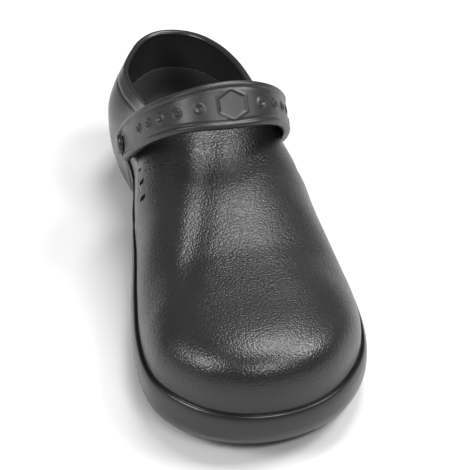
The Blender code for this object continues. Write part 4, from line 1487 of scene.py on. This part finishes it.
@dataclass
class TreadInsert:
    """Rubber insert: plate, border bead, long ribs and rows of chevron lugs, bent to the sole.

    back, front and taper are shares of the shoe's length; inset, axis_x, lane, pitch, bar and drop are in mm;
    turn is the insert's own direction in degrees; round_x and round_y are the powers of its rounded end.
    """

    name: str
    node: str
    offset: float
    back: float
    front: float
    inset: float
    taper: float
    round_y: float
    round_x: float
    turn: float
    axis_x: float
    lane: float
    pitch: float
    bar: float
    drop: float
    plate_top: float = 4.4 * MM
    plate_low: float = 2.2 * MM
    pocket_low: float = -12.0 * MM
    rib_low: float = 0.3 * MM
    rib_width: float = 3.4 * MM
    lug_rim: float = 4.0 * MM
    lug_sink: float = 0.4 * MM
    rib_sink: float = 0.5 * MM
    mask_low: float = -1.0 * MM
    mask_sink: float = 0.6 * MM
    over: float = 12.0 * MM
    # Border bead: distance inside the edge and height.
    border_rows: tuple[tuple[float, float], ...] = (
        (0.5 * MM, 2.7 * MM), (0.5 * MM, 1.0 * MM), (0.9 * MM, 0.6 * MM),
        (1.6 * MM, 0.6 * MM), (2.0 * MM, 1.0 * MM), (2.0 * MM, 2.7 * MM))
    bend_step: float = 4.0 * MM
    draft: float = 0.5 * MM
    end_points: int = 25
    side_points: int = 36
    corner_limit: float = 0.4
    least_lift: float = 1e-6
    sharp: float = 30.0

    @property
    def middle(self) -> float:
        """Y of the insert's middle."""
        return FORM.y_at((self.back + self.front) / 2.0)

    @property
    def reach(self) -> float:
        """Half length of the field of lugs and ribs before it is trimmed."""
        return FORM.length * (self.front - self.back) / 2.0 + self.over

    def outline(self, grow: float = 0.0) -> np.ndarray:
        """Plan outline.

        Args:
            grow: Distance by which it is grown.

        Returns:
            A closed ring of points.
        """
        heel = self.back == 0.0
        closing = np.linspace(0.0, math.pi / 2.0, self.end_points)
        away = self.taper * np.cos(closing) ** (2.0 / self.round_y)
        away = (self.front - self.taper + away) if heel else (self.back + self.taper - away)
        rest = np.linspace(float(FORM.turn_of(away[-1])), 0.0 if heel else math.pi, self.side_points)[1:]
        turn = np.concatenate([FORM.turn_of(away), rest])
        width = np.concatenate([np.sin(closing) ** (2.0 / self.round_x), np.ones(len(rest))])
        distance = FORM.column("tuck", turn) + self.inset * MM - grow
        left, right = (FORM.inset(turn, side, distance) for side in Side)
        centre = (left + right) / 2.0
        left, right = (centre + (row - centre) * width[:, None] for row in (left, right))
        return np.concatenate([left, right[-2:0:-1]]) + (self.offset, 0.0)

    def grown(self, ring: np.ndarray, distance: float) -> np.ndarray:
        """Ring moved outwards along its mean edge normals.

        Args:
            ring: Closed plan ring.
            distance: Distance, below 0 to shrink it.

        Returns:
            The moved ring.
        """
        ahead = unit(np.roll(ring, -1, axis=0) - ring)
        middle = unit(ahead + np.roll(ahead, 1, axis=0))
        stretch = np.maximum(np.sum(middle * ahead, axis=1), self.corner_limit)
        normal = np.column_stack([middle[:, 1], -middle[:, 0]])
        area = np.sum(ring[:, 0] * np.roll(ring[:, 1], -1) - ring[:, 1] * np.roll(ring[:, 0], -1))
        return ring + np.sign(area) * normal * (distance / stretch)[:, None]

    def turned(self, ring: np.ndarray) -> np.ndarray:
        """Ring turned to the insert's own axis.

        Args:
            ring: Plan ring, upright about the insert's middle.

        Returns:
            The turned ring.
        """
        angle = math.radians(self.turn)
        x, y = ring[:, 0], ring[:, 1] - self.middle
        return np.column_stack([self.offset + self.axis_x * MM + x * math.cos(angle) - y * math.sin(angle),
                                self.middle + x * math.sin(angle) + y * math.cos(angle)])

    def chevron(self) -> np.ndarray:
        """Ring of one row of chevrons over three lanes, points towards the toe."""
        xs = np.arange(-3.0, 3.5) * self.lane * MM
        ys = self.drop * MM * (np.arange(len(xs)) % 2 == 0)
        far = np.column_stack([xs, ys + self.bar * MM])[::-1]
        return self.turned(np.concatenate([np.column_stack([xs, ys]), far]))

    def bend(self, obj: bpy.types.Object) -> None:
        """Cut a flat body across at even steps and lift it by the spring.

        Args:
            obj: Flat body.
        """
        bm = bmesh.new()
        bm.from_mesh(obj.data)
        bmesh.ops.triangulate(bm, faces=bm.faces)
        step, half = self.bend_step, FORM.length / 2.0
        for y in np.arange(step / 2.0 - half, half, step):
            if max(float(FORM.spring(y - step)), float(FORM.spring(y + step))) < self.least_lift:
                continue
            whole = bm.verts[:] + bm.edges[:] + bm.faces[:]
            bmesh.ops.bisect_plane(
                bm, geom=whole, dist=SLIVER, plane_co=(0.0, float(y), 0.0), plane_no=(0.0, 1.0, 0.0))
        for vert in bm.verts:
            vert.co.z += float(FORM.spring(vert.co.y))
        bm.to_mesh(obj.data)
        bm.free()

    def prism(self, name: str, ring: np.ndarray, low: float, high: float,
              finish: Finish | None = None) -> bpy.types.Object:
        """Upright body over a plan ring."""
        return loft(name, raised(((ring, low), (ring, high))), finish)

    def trim(self, obj: bpy.types.Object, field: np.ndarray) -> bpy.types.Object:
        """Keep what lies in the field."""
        combine(obj, [self.prism("field", field, self.mask_low, self.plate_low + self.mask_sink)], Join.TRIM)
        return obj

    def drafted(self, ring: np.ndarray, low: float, sink: float) -> list[list[Triple]]:
        """Rings of a raised bar, smaller at its free face.

        Args:
            ring: Plan ring.
            low: Height of its free face.
            sink: Reach into the plate.

        Returns:
            The rings.
        """
        small = self.grown(ring, -self.draft)
        return raised(((small, low), (ring, low + self.draft), (ring, self.plate_low + sink)))

    def lugs(self, field: np.ndarray) -> bpy.types.Object:
        """Rows of chevrons trimmed to the field, placed by Geometry Nodes.

        Args:
            field: Ring that they stay inside.

        Returns:
            The lugs as one object.
        """
        stamp = loft("lug_stamp", self.drafted(self.chevron(), 0.0, self.lug_sink))
        base, tip = self.turned(np.array([(0.0, 0.0), (0.0, 1.0)]))
        rows = np.arange(self.middle - self.reach, self.middle + self.reach, self.pitch * MM)
        spots = [(np.array((*((tip - base) * y), 0.0)), (0.0, 0.0, 1.0)) for y in rows]
        return self.trim(scatter(self.name + "_bars", spots, stamp, TREAD_RUBBER), field)

    def ribs(self, field: np.ndarray) -> bpy.types.Object:
        """The two long ribs between the lanes, trimmed to the field.

        Args:
            field: Ring that they stay inside.

        Returns:
            The ribs as one object.
        """
        corners = np.array([(-1.0, -1.0), (1.0, -1.0), (1.0, 1.0), (-1.0, 1.0)])
        box = corners * (self.rib_width / 2.0, self.reach) + (0.0, self.middle)

        def fill(bm: bmesh.types.BMesh) -> None:
            """Both ribs."""
            for x in (-self.lane * MM, self.lane * MM):
                ring_loft(bm, self.drafted(self.turned(box + (x, 0.0)), self.rib_low, self.rib_sink))

        return self.trim(mesh_object(self.name + "_ribs", fill, TREAD_RUBBER), field)

    def border(self, ring: np.ndarray) -> bpy.types.Object:
        """Raised bead along the insert's edge.

        Args:
            ring: Outline of the insert.

        Returns:
            The bead.
        """
        rows = raised([(self.grown(ring, -inside), z) for inside, z in self.border_rows])

        def fill(bm: bmesh.types.BMesh) -> None:
            """Rows of the bead, closed to a tube."""
            lines = [[bm.verts.new(point) for point in row] for row in rows]
            for low, high in zip(lines, lines[1:] + lines[:1]):
                bridge(bm, low, high)
            bmesh.ops.recalc_face_normals(bm, faces=bm.faces)

        return mesh_object(self.name + "_border", fill, TREAD_RUBBER)

    def build(self) -> tuple[bpy.types.Object, bpy.types.Object]:
        """Build the insert and the cutter of its pocket.

        Returns:
            The insert and the cutter.
        """
        ring, field = self.outline(), self.outline(-self.lug_rim)
        plate = self.prism(self.name, ring, self.plate_low, self.plate_top, TREAD_RUBBER)
        for extra in (self.border(ring), self.ribs(field), self.lugs(field)):
            combine(plate, [extra], Join.ADD)
        pocket = self.prism(
            self.name + "_pocket", self.grown(ring, FORM.gap), self.pocket_low, self.plate_top + FORM.gap)
        for obj in (plate, pocket):
            self.bend(obj)
        shade(plate, self.sharp)
        return plate, pocket


@dataclass(frozen=True)
class Lamp:
    """A soft box: place and aim in metres, size in metres, power in watts."""

    name: str
    place: Triple
    aim: Triple
    size: tuple[float, float]
    power: float

    def build(self) -> None:
        """Put the lamp in the scene, turned to its aim."""
        data = bpy.data.lights.new(self.name, "AREA")
        data.shape = "RECTANGLE"
        data.size, data.size_y = self.size
        data.energy = self.power
        lamp = link(bpy.data.objects.new(self.name, data))
        lamp.location = self.place
        lamp.rotation_euler = (Vector(self.aim) - Vector(self.place)).to_track_quat("-Z", "Y").to_euler()


@dataclass
class Studio:
    """Pale floor, soft light and the camera at the photograph's angle."""

    elevation: float = math.radians(34.9)
    yaw: float = math.radians(-11.81)
    distance: float = 0.80
    target: Triple = (0.0, 0.0, 0.035)
    aim: Triple = (0.008, -0.011, 0.031)
    lens: float = 120.0
    sensor: float = 36.0
    floor_size: float = 6.0
    floor_grey: float = 0.66
    sky: float = 0.25
    lamps: tuple[Lamp, ...] = (
        Lamp("vamp_box", (0.24, 0.275, 1.244), (0.0, -0.02, 0.06), (0.40, 0.70), 11.5),
        Lamp("front_strip", (0.10, -0.78, 0.86), (0.0, 0.0, 0.08), (0.50, 0.12), 5.0),
        Lamp("medial_box", (-0.90, -0.20, 0.74), (0.0, -0.10, 0.05), (0.42, 0.42), 7.0),
        Lamp("lateral_box", (0.64, -0.14, 0.92), (0.0, -0.10, 0.05), (0.42, 0.42), 9.0),
    )

    def build(self) -> None:
        """Put floor, light and camera in the scene."""
        self.build_floor()
        world = bpy.data.worlds.new("studio")
        bpy.context.scene.world = world
        world.use_nodes = True
        Nodes(world.node_tree).fill(
            world.node_tree.nodes["Background"], {"Color": (1.0, 1.0, 1.0, 1.0), "Strength": self.sky})
        for lamp in self.lamps:
            lamp.build()
        self.build_camera()
        bpy.context.scene.view_settings.view_transform = "Standard"

    def build_camera(self) -> None:
        """Camera in front of the toe, above the floor."""
        data = bpy.data.cameras.new("camera")
        data.sensor_width = self.sensor
        data.lens = self.lens
        data.clip_start = 0.01
        camera = link(bpy.data.objects.new("camera", data))
        level = math.cos(self.elevation)
        back = Vector((math.sin(self.yaw) * level, -math.cos(self.yaw) * level, math.sin(self.elevation)))
        camera.location = Vector(self.target) + back * self.distance
        camera.rotation_euler = (Vector(self.aim) - camera.location).to_track_quat("-Z", "Y").to_euler()
        bpy.context.scene.camera = camera

    def build_floor(self) -> None:
        """A wide flat floor under the sole, pale and matt."""
        half = self.floor_size / 2.0
        corners = ((-half, -half), (half, -half), (half, half), (-half, half))
        floor = mesh_object("floor", lambda bm: bm.faces.new([bm.verts.new((x, y, 0.0)) for x, y in corners]))
        made = bpy.data.materials.new("pale_floor")
        made.use_nodes = True
        Nodes(made.node_tree).fill(made.node_tree.nodes["Principled BSDF"], {
            "Base Color": (self.floor_grey, self.floor_grey, self.floor_grey, 1.0),
            "Roughness": 0.9, "Specular IOR Level": 0.1})
        floor.data.materials.append(made)


def main() -> None:
    """Build every piece over the frame."""
    logging.basicConfig(level=logging.INFO, format="%(name)s %(message)s")
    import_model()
    low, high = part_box("heel_strap")
    path = StrapPath()
    offset = (low[0] + high[0]) / 2.0 - path.centre
    path.offset = offset
    treads = (
        TreadInsert(
            "forefoot_tread", "outsole_forefoot", offset, back=0.462, front=1.00, inset=3.6, taper=0.13,
            round_y=2.5, round_x=2.2, turn=-4.0, axis_x=2.0, lane=15.5, pitch=15.6, bar=7.0, drop=10.0),
        TreadInsert(
            "heel_tread", "outsole_heel", offset, back=0.00, front=0.388, inset=3.4, taper=0.17,
            round_y=2.0, round_x=1.7, turn=4.0, axis_x=1.0, lane=9.5, pitch=13.0, bar=5.8, drop=6.6),
    )
    pockets = []
    for tread in treads:
        plate, pocket = tread.build()
        pockets.append(pocket)
        dress(plate, Slot.TREAD, tread.node)
    body = ClogBody(offset, path)
    dress(body.build(pockets), Slot.BODY, "clog_body")
    footbed = Insole(offset).build()
    dress(footbed, Slot.INSOLE, "insole")
    dress(HeelStrap(path).build(), Slot.STRAP, "heel_strap")
    for side in Side:
        stud = PivotStud(path, side, body.inside_face(side))
        dress(stud.build(), Slot.STUD, "pivot_stud_" + side.name.lower())
    Studio().build()


if __name__ == "__main__":
    main()
